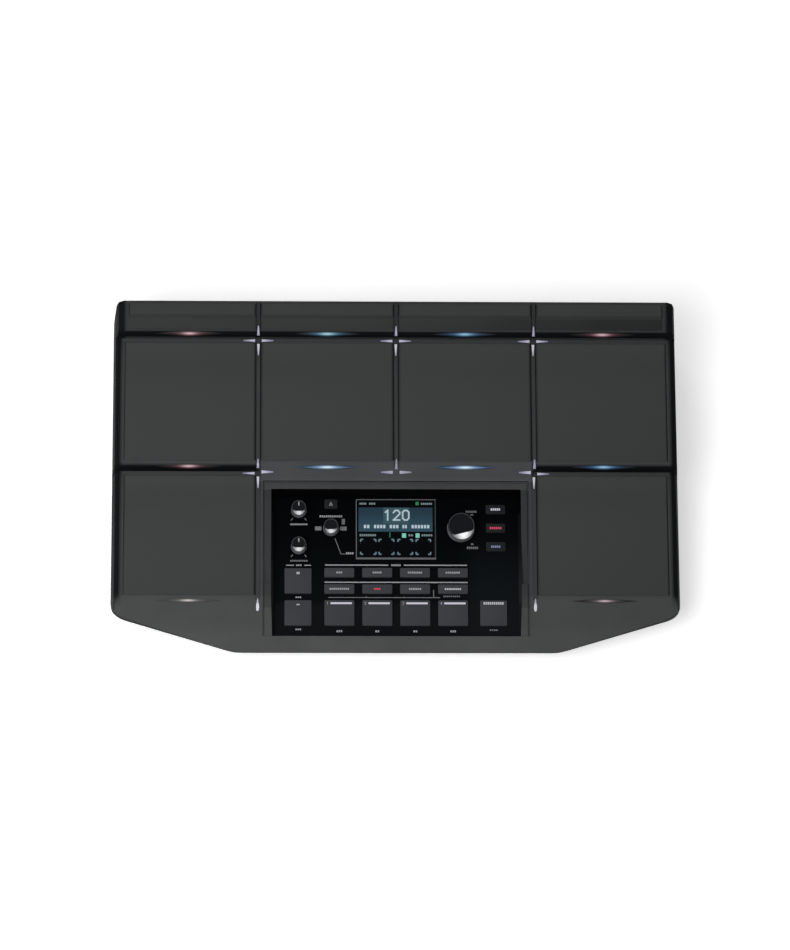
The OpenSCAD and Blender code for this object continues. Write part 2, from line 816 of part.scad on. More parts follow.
module case_columns() {
    intersection() {
        union() {
            for (at = screw_places) {
                translate([at[0], at[1], 0]) cylinder(r = screw_boss_radius, h = far / 4, $fn = 48);
            }
            for (at = board_posts) {
                translate([at[0], at[1], 0]) cylinder(r = 3.5, h = jack_board_z, $fn = 32);
            }
            for (x = jack_board_posts) {
                translate([x, jack_board_front_y + 5, 0]) cylinder(r = 3.5, h = jack_board_z - board_thickness, $fn = 32);
            }
            for (x = [-1, 1], y = [-1, 1]) {
                translate([x * stand_width / 2, y * stand_depth / 2, 0]) cylinder(r = 6.5, h = foot_height + insert_length, $fn = 48);
            }
        }
        case_body(eps);
    }
}

insert_length = 9;
insert_radius = 4;
screw_head_radius = 2.9;
screw_head_depth = 2.2;
wall_hole_gap = 0.2;
module bottom_case() {
    color("#2b2c2e") difference() {
        union() {
            difference() {
                case_body(0);
                case_body(wall);
                on_deck() translate([0, 0, parting_z]) linear_extrude(1, center = true) polygon(body_outline(wall));
            }
            case_columns();
        }
        for (at = screw_places) {
            translate([at[0], at[1], 0]) {
                cylinder(r = screw_radius + wall_hole_gap, h = far / 4, $fn = 32);
                cylinder(r = screw_head_radius + wall_hole_gap, h = foot_height + screw_head_depth, $fn = 32);
            }
        }
        for (at = foot_places) {
            translate([at[0], at[1], 0]) cylinder(r = foot_radius + 0.05, h = foot_height + foot_seat, $fn = 64);
        }
        for (x = [-1, 1], y = [-1, 1]) {
            translate([x * stand_width / 2, y * stand_depth / 2, 0]) {
                cylinder(r = insert_radius, h = foot_height + insert_length - 1.5, $fn = 48);
            }
        }
        rear_openings();
    }
}

// Holes in the rear wall for the sockets
module through_rear(x, z, radius) {
    translate([x, rear_wall_y + 1, z]) rotate([90, 0, 0]) cylinder(r = radius, h = wall + 2, $fn = 48);
}

module rear_openings() {
    for (x = jack_places) {
        through_rear(x, jack_z, jack_neck_radius + wall_hole_gap);
    }
    for (x = din_places) {
        through_rear(x, din_z, din_radius + din_wall + wall_hole_gap);
    }
    box([usb_b_x - usb_b[0] / 2 - wall_hole_gap, rear_wall_y - wall - 1, jack_board_z - eps],
        [usb_b_x + usb_b[0] / 2 + wall_hole_gap, rear_wall_y + 1, jack_board_z + usb_b[1] + wall_hole_gap]);
    box([usb_a_x - usb_a[0] / 2 - wall_hole_gap, rear_wall_y - wall - 1, jack_board_z - eps],
        [usb_a_x + usb_a[0] / 2 + wall_hole_gap, rear_wall_y + 1, jack_board_z + usb_a[1] + wall_hole_gap]);
    box([dc_x - dc_size / 2 - wall_hole_gap, rear_wall_y - wall - 1, jack_board_z - eps],
        [dc_x + dc_size / 2 + wall_hole_gap, rear_wall_y + 1, jack_board_z + dc_size + wall_hole_gap]);
    through_rear(power_x, power_z, power_radius + 1 + wall_hole_gap);
}

// Control panel and display

window_gap = 0.2;
window_lip = 1.2;
module control_panel() {
    color("#0b0d0f") on_deck() difference() {
        union() {
            box([-plate_half_width, plate_front_y, panel_bottom_z], [plate_half_width, plate_rear_y, panel_z]);
            panel_posts();
        }
        for (key = all_keys) {
            key_block(key, button_gap, panel_bottom_z - 1, panel_z + 1);
        }
        for (at = knob_places) {
            translate([at[0], at[1], panel_bottom_z - 1]) cylinder(r = bush_radius + 0.3, h = panel_thickness + 2, $fn = 48);
        }
        translate([0, display_y, 0]) {
            centred_box(window_width / 2 + window_gap, window_depth / 2 + window_gap, panel_z - window_thickness, panel_z + 1);
            centred_box(window_width / 2 - window_lip, window_depth / 2 - window_lip, panel_bottom_z - 1, panel_z);
        }
    }
}

// A block centred on the deck's local zero
module centred_box(half_x, half_y, z0, z1) {
    box([-half_x, -half_y, z0], [half_x, half_y, z1]);
}

// A block over a button's plan with round corners, grown by extra
module key_block(key, extra, z0, z1) {
    translate([key[0], key[1], z0]) linear_extrude(z1 - z0) rounded_plan(key[2] / 2 + extra, key[3] / 2 + extra, button_round + extra);
}

module rounded_plan(half_x, half_y, radius) {
    square([2 * half_x, 2 * (half_y - radius)], center = true);
    square([2 * (half_x - radius), 2 * half_y], center = true);
    for (x = [-1, 1], y = [-1, 1]) {
        translate([x * (half_x - radius), y * (half_y - radius)]) circle(r = radius, $fn = 32);
    }
}

// Posts under the panel that carry its board
panel_post_x = plate_half_width - 6.7;
panel_post_rows = [plate_rear_y - 9.8, display_y - 20.6, plate_front_y + 9.4];
panel_post_places = [for (x = [-panel_post_x, panel_post_x], y = panel_post_rows) [x, y]];
panel_post_radius = 3;
module panel_posts() {
    for (at = panel_post_places) {
        translate([at[0], at[1], panel_board_z]) cylinder(r = panel_post_radius, h = panel_bottom_z - panel_board_z + eps, $fn = 32);
    }
}

module display_window() {
    color([0.1, 0.12, 0.14, 0.5]) on_deck() translate([0, display_y, 0]) {
        centred_box(window_width / 2, window_depth / 2, panel_z - window_thickness, panel_z);
    }
}

display_margin = 1.6;
module display_module() {
    color("#20262b") on_deck() translate([0, display_y, 0]) {
        centred_box(
            window_width / 2 - display_margin, window_depth / 2 - display_margin,
            panel_z - window_thickness - display_thickness, panel_z - window_thickness
        );
    }
}

// Pads

// Square pad with rounded long edges
module square_pad(plan) {
    top = plan[4];
    bottom = top - pad_thickness;
    color("#3f4042") on_deck() intersection() {
        over_plan(plan, 0, bottom, top);
        along(plan[1] - 1, plan[3] + 1) polygon(concat(
            [[plan[0], bottom - 1], [plan[2], bottom - 1]],
            arc([plan[2] - pad_round, top - pad_round], pad_round, 0, 90),
            arc([plan[0] + pad_round, top - pad_round], pad_round, 90, 180)
        ));
    }
}

// Bar pad that follows the ridge, the soft step and the facet
module bar_pad(plan) {
    color("#3f4042") on_deck() intersection() {
        over_plan(plan, 0, bar_bottom_z, far / 10);
        across(far) polygon(deck_profile(0));
        along(plan[1] - 1, plan[3] + 1) polygon(concat(
            [[plan[0], bar_bottom_z - 1], [plan[2], bar_bottom_z - 1]],
            arc([plan[2] - pad_round, ridge_z - pad_round], pad_round, 0, 90),
            arc([plan[0] + pad_round, ridge_z - pad_round], pad_round, 90, 180)
        ));
    }
}

plate_inset = 0.2;
module pad_plates() {
    color("#9a9c9e") on_deck() for (plan = pad_plans) {
        z0 = plan[4] - tray_depth;
        over_plan(plan, plate_inset, z0, z0 + plate_thickness);
    }
}

module sensor_sheets() {
    color("#1c1c1c") on_deck() for (plan = pad_plans) {
        z0 = plan[4] - tray_depth + plate_thickness;
        over_plan(plan, plate_inset + 0.6, z0, z0 + sheet_thickness);
    }
}

// Lamps

lens_proud = 0.1;
module lamp_skin() {
    difference() {
        translate([0, 0, lens_proud]) deck_solid(0);
        deck_solid(lens_depth);
    }
}

module indicator_lenses() {
    color("#dfe6ee") on_deck() intersection() {
        lens_columns(0);
        lamp_skin();
    }
}

module cross_light_guides() {
    color("#f2f0ff") on_deck() intersection() {
        cross_columns(0);
        lamp_skin();
    }
}

// Buttons

module panel_button(key) {
    color("#3d4144") on_deck() {
        key_block(key, 0, panel_bottom_z - flange_gap - eps, panel_z + button_rise);
        flange_z = panel_bottom_z - flange_gap - flange_thickness;
        key_block(key, button_flange, flange_z, flange_z + flange_thickness);
        translate([key[0], key[1], plunger_top_z + button_travel + press_gap]) {
            cylinder(r = stem_radius, h = flange_z - plunger_top_z - button_travel - press_gap + eps, $fn = 32);
        }
    }
}

module tact_switches() {
    color("#b8bcc0") on_deck() for (key = all_keys) {
        translate([key[0], key[1], panel_board_z]) {
            translate([-tact_size / 2, -tact_size / 2, 0]) cube([tact_size, tact_size, tact_height]);
            cylinder(r = tact_plunger_radius, h = plunger_top_z - panel_board_z, $fn = 32);
        }
    }
}

// Knobs, shafts and the parts that they turn in

bush_radius = 4.2;
rotary_size = 11;
rotary_height = 5.5;
bush_top_z = panel_z - 0.6;
knob_wall = 1.6;
grip_gap = 0.02;

// A knob that narrows a little towards its top, with a round skirt and a bore for its shaft
module knob(at, radius, height, gap, bore_depth, clearance) {
    skirt = 1.6;
    on_deck() translate([at[0], at[1], panel_z + gap]) difference() {
        union() {
            cylinder(r = radius, h = skirt, $fn = 64);
            translate([0, 0, skirt - eps]) cylinder(r1 = radius - 0.3, r2 = radius - 0.8, h = height - gap - skirt, $fn = 64);
        }
        translate([0, 0, -1]) cylinder(r = shaft_radius + clearance, h = bore_depth + 1, $fn = 48);
    }
}

small_bore = small_knob_height - knob_gap - knob_wall;
large_bore = large_knob_height - knob_gap - knob_wall;
module phones_knob() {
    color("#2a2c2e") knob(phones_knob_at, small_knob_radius, small_knob_height, knob_gap, small_bore, grip_gap);
}

module main_level_knob() {
    color("#2a2c2e") knob(main_knob_at, small_knob_radius, small_knob_height, knob_gap, small_bore, grip_gap);
}

module metronome_knob() {
    color("#2a2c2e") knob(click_knob_at, small_knob_radius, small_knob_height, knob_gap, small_bore, shaft_clearance);
}

module value_knob() {
    color("#2a2c2e") knob(value_knob_at, large_knob_radius, large_knob_height, knob_gap, large_bore, shaft_clearance);
}

// A shaft that stands on its rotary part and reaches into its knob, stopping short of the bore's end
module shaft(at, low_gap, end_gap, height) {
    low = panel_board_z + 1.5 + low_gap;
    high = panel_z + height - knob_wall - end_gap;
    color("#8d9094") on_deck() translate([at[0], at[1], low]) cylinder(r = shaft_radius, h = high - low, $fn = 48);
}

module phones_shaft() {
    shaft(phones_knob_at, press_gap, grip_gap, small_knob_height);
}

module main_level_shaft() {
    shaft(main_knob_at, press_gap, grip_gap, small_knob_height);
}

module metronome_shaft() {
    shaft(click_knob_at, push_travel + press_gap, press_gap, small_knob_height);
}

module value_shaft() {
    shaft(value_knob_at, push_travel + press_gap, press_gap, large_knob_height);
}

module rotary_bodies() {
    color("#a9adb1") on_deck() for (at = knob_places) {
        translate([at[0], at[1], panel_board_z]) difference() {
            union() {
                translate([-rotary_size / 2, -rotary_size / 2, 0]) cube([rotary_size, rotary_size, rotary_height]);
                cylinder(r = bush_radius, h = bush_top_z - panel_board_z, $fn = 48);
            }
            translate([0, 0, 1.5]) cylinder(r = shaft_radius + shaft_clearance, h = far / 10, $fn = 48);
        }
    }
}

// Circuit boards

module panel_board() {
    color("#14532d") on_deck() {
        box(
            [-plate_half_width + 1.5, plate_front_y + 3, panel_board_z - board_thickness],
            [plate_half_width - 1.5, plate_rear_y - 1, panel_board_z]
        );
    }
}

chip_places = [[-60, 10, 28, 28, 2], [20, 20, 22, 22, 1.6], [80, -10, 12, 18, 1.4], [-20, -30, 14, 20, 1.4]];
module main_board() {
    half = [main_board_width / 2, main_board_depth / 2];
    color("#14532d") {
        box(
            [-half[0], board_middle - half[1], jack_board_z],
            [half[0], board_middle + half[1], jack_board_z + board_thickness]
        );
        for (chip = chip_places) {
            translate([chip[0], chip[1], jack_board_z + board_thickness - eps]) cube([chip[2], chip[3], chip[4]]);
        }
    }
}

jack_board_front_y = rear_wall_y - wall - jack_board_depth;
module jack_board() {
    color("#14532d") {
        box(
            [-jack_board_half, jack_board_front_y, jack_board_z - board_thickness],
            [jack_board_half, rear_wall_y - wall - 0.3, jack_board_z]
        );
    }
}

// Rear sockets

jack_neck_radius = 5.5;
jack_ring_radius = 6.6;
ring_thickness = 1.4;
module audio_jacks() {
    color("#26282a") for (x = jack_places) {
        translate([x, rear_wall_y, jack_z]) difference() {
            union() {
                box([-jack_width / 2, -wall - jack_length, -jack_width / 2], [jack_width / 2, -wall, jack_width / 2]);
                translate([0, ring_thickness, 0]) rotate([90, 0, 0]) cylinder(r = jack_ring_radius, h = ring_thickness, $fn = 48);
                translate([0, eps, 0]) rotate([90, 0, 0]) cylinder(r = jack_neck_radius, h = wall + 2 * eps, $fn = 48);
            }
            translate([0, ring_thickness + 1, 0]) rotate([90, 0, 0]) {
                cylinder(r = jack_radius, h = ring_thickness + 1 + wall + jack_length - 2, $fn = 48);
            }
        }
    }
}

din_wall = 1.8;
din_depth = 9;
din_width = 18;
din_z = jack_board_z + din_width / 2;
pin_hole_radius = 0.8;
pin_circle = 4.5;
module midi_sockets() {
    color("#1b1c1e") for (x = din_places) {
        translate([x, rear_wall_y, din_z]) difference() {
            union() {
                box([-din_width / 2, -wall - 13, -din_width / 2], [din_width / 2, -wall, din_width / 2]);
                rotate([90, 0, 0]) cylinder(r = din_radius + din_wall, h = wall + eps, $fn = 64);
            }
            translate([0, 1, 0]) rotate([90, 0, 0]) cylinder(r = din_radius, h = din_depth + 1, $fn = 64);
            for (angle = [0:45:180]) {
                rotate([0, angle, 0]) translate([pin_circle, -din_depth + eps, 0]) rotate([90, 0, 0]) {
                    cylinder(r = pin_hole_radius, h = 4, $fn = 24);
                }
            }
        }
    }
}

// Sockets as [width, height, length], their openings as [width, height]
usb_b = [12, 11, 16];
usb_b_hole = [8.45, 7.8];
usb_a = [14.5, 7, 16];
usb_a_hole = [12.5, 5.1];
module usb_sockets() {
    color("#c4c7ca") {
        socket_shell(usb_b_x, usb_b, usb_b_hole, [5.6, 3.2]);
        socket_shell(usb_a_x, usb_a, usb_a_hole, [11.1, 1.8]);
    }
}

// A square-cornered socket on the jack board, with the tongue inside it
module socket_shell(x, size, hole, tongue) {
    translate([x, rear_wall_y, jack_board_z + size[1] / 2]) {
        difference() {
            box([-size[0] / 2, -size[2], -size[1] / 2], [size[0] / 2, 0.4, size[1] / 2]);
            box([-hole[0] / 2, -size[2] + 3, -hole[1] / 2], [hole[0] / 2, 1, hole[1] / 2]);
        }
        box([-tongue[0] / 2, -size[2] + 3 - eps, -tongue[1] / 2], [tongue[0] / 2, -2, tongue[1] / 2]);
    }
}

dc_size = 10;
dc_hole_radius = 3.2;
dc_pin_radius = 1;
module dc_inlet() {
    color("#1b1c1e") translate([dc_x, rear_wall_y, jack_board_z + dc_size / 2]) {
        difference() {
            box([-dc_size / 2, -14, -dc_size / 2], [dc_size / 2, 0.4, dc_size / 2]);
            translate([0, 1, 0]) rotate([90, 0, 0]) cylinder(r = dc_hole_radius, h = 11, $fn = 48);
        }
        translate([0, -1, 0]) rotate([90, 0, 0]) cylinder(r = dc_pin_radius, h = 10, $fn = 32);
    }
}

power_radius = 5;
power_travel = 2;
power_z = jack_board_z + 8;
power_gap = 0.35;
module power_switch_body() {
    color("#26282a") translate([power_x, rear_wall_y, power_z]) difference() {
        union() {
            box([-8, -wall - 16, -8], [8, -wall, 8]);
            rotate([90, 0, 0]) cylinder(r = power_radius + 1, h = wall + eps, $fn = 48);
        }
        translate([0, 1, 0]) rotate([90, 0, 0]) cylinder(r = power_radius - 1 + power_gap, h = 12, $fn = 48);
        translate([0, 1, 0]) rotate([90, 0, 0]) cylinder(r = power_radius + power_gap - 0.5, h = 2, $fn = 48);
    }
}

module power_button() {
    color("#3a3c3e") translate([power_x, rear_wall_y + 2, power_z]) rotate([90, 0, 0]) {
        cylinder(r = power_radius - 1, h = 2 + 11 - power_travel - power_gap, $fn = 48);
    }
}

// Fixings and feet

insert_wall_end = foot_height + insert_length - 1.5;
module stand_inserts() {
    color("#b5893a") for (x = [-1, 1], y = [-1, 1]) {
        translate([x * stand_width / 2, y * stand_depth / 2, foot_height]) difference() {
            cylinder(r = insert_radius, h = insert_wall_end - foot_height, $fn = 48);
            translate([0, 0, -1]) cylinder(r = stand_hole_radius, h = insert_length, $fn = 48);
        }
    }
}

module case_screws() {
    color("#5a5c5e") for (at = screw_places) {
        translate([at[0], at[1], foot_height + 0.2]) {
            cylinder(r = screw_head_radius, h = screw_head_depth - 0.2, $fn = 32);
            cylinder(r = screw_radius, h = parting_height(at[1]) + screw_grip - foot_height - 0.2, $fn = 32);
        }
    }
}

foot_seat = 1;
module rubber_feet() {
    color("#161616") for (at = foot_places) {
        translate([at[0], at[1], 0]) {
            cylinder(r1 = foot_radius - 0.8, r2 = foot_radius, h = 1.2, $fn = 64);
            translate([0, 0, 1.2 - eps]) cylinder(r = foot_radius, h = foot_height + foot_seat - 1.2 + eps, $fn = 64);
        }
    }
}

top_frame();
bottom_case();
control_panel();
display_window();
display_module();
for (i = [1:4]) bar_pad(bar_plan(columns[i - 1]));
for (i = [1:4]) square_pad(middle_plan(columns[i - 1]));
for (i = [1:2]) square_pad(front_plan(3 * i - 4.5));
pad_plates();
sensor_sheets();
indicator_lenses();
cross_light_guides();
for (i = [1:4]) panel_button(upper_keys[i - 1]);
for (i = [1:4]) panel_button(lower_keys[i - 1]);
for (i = [1:4]) panel_button(track_keys[i - 1]);
for (i = [1:2]) panel_button(left_keys[i - 1]);
panel_button(right_key);  // right_square_button
for (i = [1:3]) panel_button(small_keys[i - 1]);
panel_button(click_key);  // click_button
phones_knob();
main_level_knob();
metronome_knob();
value_knob();
phones_shaft();
main_level_shaft();
metronome_shaft();
value_shaft();
rotary_bodies();
tact_switches();
panel_board();
main_board();
jack_board();
audio_jacks();
midi_sockets();
usb_sockets();
dc_inlet();
power_switch_body();
power_button();
stand_inserts();
case_screws();
rubber_feet();
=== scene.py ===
"""Looks for the sampling drum pad: materials, printed marks, lamps, display, knobs, stage, light and camera."""
import functools
import math

import bmesh
import bpy
from mathutils import Matrix, Vector


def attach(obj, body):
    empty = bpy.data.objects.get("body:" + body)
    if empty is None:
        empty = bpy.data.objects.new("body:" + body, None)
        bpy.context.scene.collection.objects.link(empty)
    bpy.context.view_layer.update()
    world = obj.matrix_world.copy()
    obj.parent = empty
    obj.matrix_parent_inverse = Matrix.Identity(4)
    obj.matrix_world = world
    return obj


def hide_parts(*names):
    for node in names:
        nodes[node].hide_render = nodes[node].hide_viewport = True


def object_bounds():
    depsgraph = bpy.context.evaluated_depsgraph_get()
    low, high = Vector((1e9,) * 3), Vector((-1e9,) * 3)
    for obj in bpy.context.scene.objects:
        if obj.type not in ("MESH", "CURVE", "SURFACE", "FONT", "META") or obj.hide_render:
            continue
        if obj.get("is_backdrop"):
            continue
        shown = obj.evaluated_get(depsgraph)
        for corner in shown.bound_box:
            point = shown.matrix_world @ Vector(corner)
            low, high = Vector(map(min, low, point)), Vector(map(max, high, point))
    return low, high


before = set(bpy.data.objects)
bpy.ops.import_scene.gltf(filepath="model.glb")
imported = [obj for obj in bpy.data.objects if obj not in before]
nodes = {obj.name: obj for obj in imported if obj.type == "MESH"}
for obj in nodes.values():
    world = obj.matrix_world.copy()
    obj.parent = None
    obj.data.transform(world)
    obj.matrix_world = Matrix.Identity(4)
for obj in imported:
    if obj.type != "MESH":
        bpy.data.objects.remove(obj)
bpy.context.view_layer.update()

# The deck's own coordinates, in millimetres: x right, y rearwards along the deck, z square to it.
# y is 0 at the step between the front and the middle rank of pads.
TILT = math.radians(5)
DECK_Y, DECK_Z = 3.9725, 48.0
DECK = (
    Matrix.Translation((0, DECK_Y / 1000, DECK_Z / 1000))
    @ Matrix.Rotation(TILT, 4, "X")
    @ Matrix.Scale(0.001, 4)
)
TO_DECK = DECK.inverted()
DECK_UP = (0, -math.sin(TILT), math.cos(TILT))

PITCH = 103.4  # from one column of pads to the next
ROW_PITCH = 100.7  # from one rank of pads to the next
PAD_COLUMNS = (-1.5, -0.5, 0.5, 1.5)  # middles of the columns, in pitches
PANEL_Z = -12.0  # top of the control panel
DISPLAY_Y = -41.4  # middle of the display
LEVEL_X, LEVEL_RISE = -72.8, 14.05  # level knobs: column, and rows above and below the display's middle
INNER_KNOB_X = 48.7  # value knob, and with a minus the metronome knob and the small key over it
KEY_COLUMNS = (-42.45, -14.15, 14.15, 42.45)
SIDE_KEY_X, RIGHT_KEY_X = 74.8, 72.7
LENS_SETBACK = 1.6  # middle of a lens, behind the front of its rank
CROSS_SETBACK = 1.4  # middle of a light cross, in front of the next rank
MIDDLE_RANK_Y = 1.6  # where the shading of the middle rank begins
RECESS_X = 100.0  # just outside the recess of the controls
RECESS_REAR, RECESS_FRONT = -14.0, -104.0  # its rear and front ends
BEZEL_X = 98.6  # outer edge of the bezel beside the panel


def linear(red, green, blue):
    """8-bit display values to the linear values that shaders use."""
    return tuple(
        c / 255 / 12.92 if c <= 10 else ((c / 255 + 0.055) / 1.055) ** 2.4
        for c in (red, green, blue)
    )


def scaled(colour, *factors):
    """A linear colour times one factor, or one factor for each channel."""
    return tuple(c * f for c, f in zip(colour, factors * 3 if len(factors) == 1 else factors))


# Materials


class Nodes:
    """Shorthand for building the node tree of a material."""

    def __init__(self, name):
        self.material = bpy.data.materials.new(name)
        self.material.use_nodes = True
        self.tree = self.material.node_tree
        self.shader = self.tree.nodes["Principled BSDF"]

    def feed(self, socket, value):
        """Links another socket, or sets a colour or a plain value."""
        if isinstance(value, bpy.types.NodeSocket):
            self.tree.links.new(value, socket)
        elif socket.type == "RGBA":
            socket.default_value = (*value, 1)
        else:
            socket.default_value = value

    def add(self, kind, values=(), **settings):
        node = self.tree.nodes.new(kind)
        for key, value in settings.items():
            setattr(node, key, value)
        for key, value in dict(values).items():
            self.feed(node.inputs[key], value)
        return node

    def set(self, **values):
        """Values of the shader, with _ for a space in a socket's name."""
        for key, value in values.items():
            self.feed(self.shader.inputs[key.replace("_", " ")], value)

    def math(self, operation, a, b=0.0):
        return self.add("ShaderNodeMath", {0: a, 1: b}, operation=operation).outputs[0]

    def times(self, *values):
        return functools.reduce(functools.partial(self.math, "MULTIPLY"), values)

    def most(self, *values):
        return functools.reduce(functools.partial(self.math, "MAXIMUM"), values)

    def size(self, value):
        return self.math("ABSOLUTE", value)

    def away(self, value, middle):
        """Distance from a middle."""
        return self.size(self.math("SUBTRACT", value, middle))

    def above(self, value, limit):
        """1 over the limit and 0 under it."""
        return self.math("GREATER_THAN", value, limit)

    def below(self, value, limit):
        """1 under the limit and 0 over it."""
        return self.math("LESS_THAN", value, limit)

    def ramp(self, value, low, high, to_low=0.0, to_high=1.0):
        """A soft step from to_low to to_high, as the value goes from low to high."""
        values = {"Value": value, "From Min": low, "From Max": high, "To Min": to_low, "To Max": to_high}
        return self.add("ShaderNodeMapRange", values, interpolation_type="SMOOTHSTEP").outputs[0]

    def fade(self, value, low, high):
        """A soft step down from 1 to 0."""
        return self.ramp(value, low, high, 1.0, 0.0)

    def bell(self, distance, width):
        """A soft bump of light: 1 in the middle, fading over the width."""
        part = self.math("DIVIDE", distance, width)
        return self.math("POWER", math.e, self.times(part, part, -1.0))

    def mix(self, factor, a, b):
        """Colour a, towards colour b as the factor rises."""
        return self.add("ShaderNodeMix", {"Factor": factor, 6: a, 7: b}, data_type="RGBA").outputs[2]

    def place(self):
        """Object coordinates, which are the shared frame's for each piece: metres."""
        return self.add("ShaderNodeTexCoord").outputs["Object"]

    def deck(self):
        """Deck coordinates in millimetres, as separate x, y and z."""
        values = {
            "Vector": self.place(),
            "Location": TO_DECK.to_translation(),
            "Rotation": (-TILT, 0, 0),
            "Scale": (1000, 1000, 1000),
        }
        turned = self.add("ShaderNodeMapping", values).outputs[0]
        return self.add("ShaderNodeSeparateXYZ", {0: turned}).outputs

    def noise(self, scale, detail=2.0, stretch=(1, 1, 1)):
        place = self.add("ShaderNodeMapping", {"Vector": self.place(), "Scale": stretch}).outputs[0]
        values = {"Vector": place, "Scale": scale, "Detail": detail}
        return self.add("ShaderNodeTexNoise", values).outputs[0]

    def bump(self, height, distance, strength=0.5, edge=0.0):
        """A bumped normal. distance and edge, the radius of softened edges, are in metres."""
        values = {"Height": height, "Distance": distance, "Strength": strength}
        if edge:
            values["Normal"] = self.add("ShaderNodeBevel", {"Radius": edge}, samples=4).outputs[0]
        return self.add("ShaderNodeBump", values).outputs[0]


def moulded(
    name, colour, rough,
    grain=5000.0, depth=0.00002, vary=0.06, edge=0.0, metal=0.0, blotch=30.0, gloss=0.35,
):
    """Moulded plastic, rubber or metal: blotches of tone and fine grain."""
    n = Nodes(name)
    fine = n.noise(grain)
    tone = n.math("ADD", n.times(n.noise(blotch, 3.0), 0.6), n.times(fine, 0.4))
    n.set(
        Base_Color=n.mix(n.ramp(tone, 0.3, 0.7), scaled(colour, 1 - vary), scaled(colour, 1 + vary)),
        Roughness=rough,
        Metallic=metal,
        Specular_IOR_Level=0.5 if metal else gloss,
        Normal=n.bump(fine, depth, edge=edge),
    )
    return n.material


def rib_shade(n, x, y, near, far):
    """1 in the grooves beside the ribs that part the columns, 0 elsewhere.

    The shade sets in over the distances near from a rib's middle, and ends over the distances far.
    """
    side = n.size(x)
    # The front rank has no rib in the middle: the distance to it is put out of reach
    middle_rib = n.math("ADD", side, n.times(n.below(y, MIDDLE_RANK_Y), PITCH / 2))
    rib = n.math("MINIMUM", middle_rib, n.away(side, PITCH))
    ribs_front, ribs_rear = -98.2, 126.2
    return n.times(n.ramp(rib, *near), n.fade(rib, *far), n.above(y, ribs_front), n.below(y, ribs_rear))


def frame_material(name, gloss):
    """Frame plastic: satin and paler on the apron, black on the noses, with painted shade on the walls and
    painted light on the slope and the front edge.
    """
    n = Nodes(name)
    x, y, z = n.deck()
    side = n.size(x)
    normal = n.add("ShaderNodeNewGeometry").outputs["Normal"]
    up = n.add("ShaderNodeVectorMath", {0: normal, 1: DECK_UP}, operation="DOT_PRODUCT").outputs["Value"]
    steep = n.fade(up, 0.3, 0.75)
    blotches = n.noise(26.0, 3.0)

    # Black strip on the rolled front of each rail, but not on the slope behind the controls
    rear_nose = n.times(n.fade(y, 103.4, 104.5), n.above(y, ROW_PITCH + 0.02))
    middle_nose = n.times(
        n.fade(y, MIDDLE_RANK_Y, 3.4), n.above(y, -0.05), n.above(z, 0.03), n.ramp(side, 102.4, 105.5)
    )
    nose = n.most(rear_nose, middle_nose)

    # Painted shade: dark shoulders, ends of the bars and outer walls, and walls of the recess, which lighten to
    # the front, with the recess's rear wall painted black
    shoulder = n.times(n.ramp(side, 203.9, 207.0), n.ramp(y, -106.0, -92.0))
    ends = n.times(n.ramp(side, 201.8, 204.6), n.above(y, ROW_PITCH))
    outer = n.times(steep, n.most(n.above(y, 124.6), n.below(y, -99.0)))
    wall = n.times(steep, n.below(side, RECESS_X), n.below(y, 6.0), n.ramp(y, -92.0, -48.0, 0.25, 1.0))
    rear_wall = n.times(wall, n.above(y, -30.0))
    shade = n.mix(outer, linear(19, 20, 21), linear(29, 30, 31))
    shade = n.mix(rear_wall, shade, linear(3, 3, 4))
    shade = n.mix(nose, shade, linear(14, 15, 16))

    # Paler parts: the apron, with painted light towards its front edge and on the slope behind the controls,
    # and the band behind the controls
    apron = n.fade(y, -98.5, -94.0)
    lit_front_edge = n.ramp(y, -112.0, -128.0)
    slope = n.times(n.ramp(y, -8.6, -6.2), n.fade(y, 4.0, 6.0), n.below(side, 101.9))
    band = n.times(n.ramp(y, RECESS_REAR, -13.4), n.fade(y, -8.6, -8.0), n.below(side, RECESS_X))
    grey = n.mix(apron, linear(57, 58, 59), linear(64, 65, 65))
    grey = n.mix(n.times(lit_front_edge, 0.7), grey, linear(72, 73, 73))
    grey = n.mix(slope, grey, linear(76, 78, 80))
    grey = n.mix(band, grey, linear(62, 63, 63))

    # Darker bezel beside the panel, blotches, painted shade in the grooves beside the ribs, and darker tops of
    # the ribs
    bezel = n.times(n.ramp(side, BEZEL_X + 1.0, BEZEL_X), n.below(y, RECESS_REAR), n.above(y, RECESS_FRONT))
    groove_shade = rib_shade(n, x, y, (0.9, 1.4), (1.6, 2.6))
    rib_tops = rib_shade(n, x, y, (-1.0, 0.0), (0.9, 1.3))
    grey = n.mix(n.times(bezel, 0.5), grey, linear(30, 31, 32))
    grey = n.mix(n.times(n.ramp(blotches, 0.3, 0.7), 0.14), grey, linear(38, 39, 40))
    grey = n.mix(n.times(groove_shade, 0.45), grey, linear(16, 17, 18))
    grey = n.mix(n.times(rib_tops, 0.3), grey, linear(30, 31, 32))
    n.set(
        Base_Color=n.mix(n.most(nose, shoulder, wall, ends, outer), grey, shade),
        Roughness=n.ramp(blotches, 0.2, 0.8, 0.55, 0.64),
        Specular_IOR_Level=gloss,
        Normal=n.bump(n.noise(5200.0), 0.00002, edge=0.0004),
    )
    return n.material


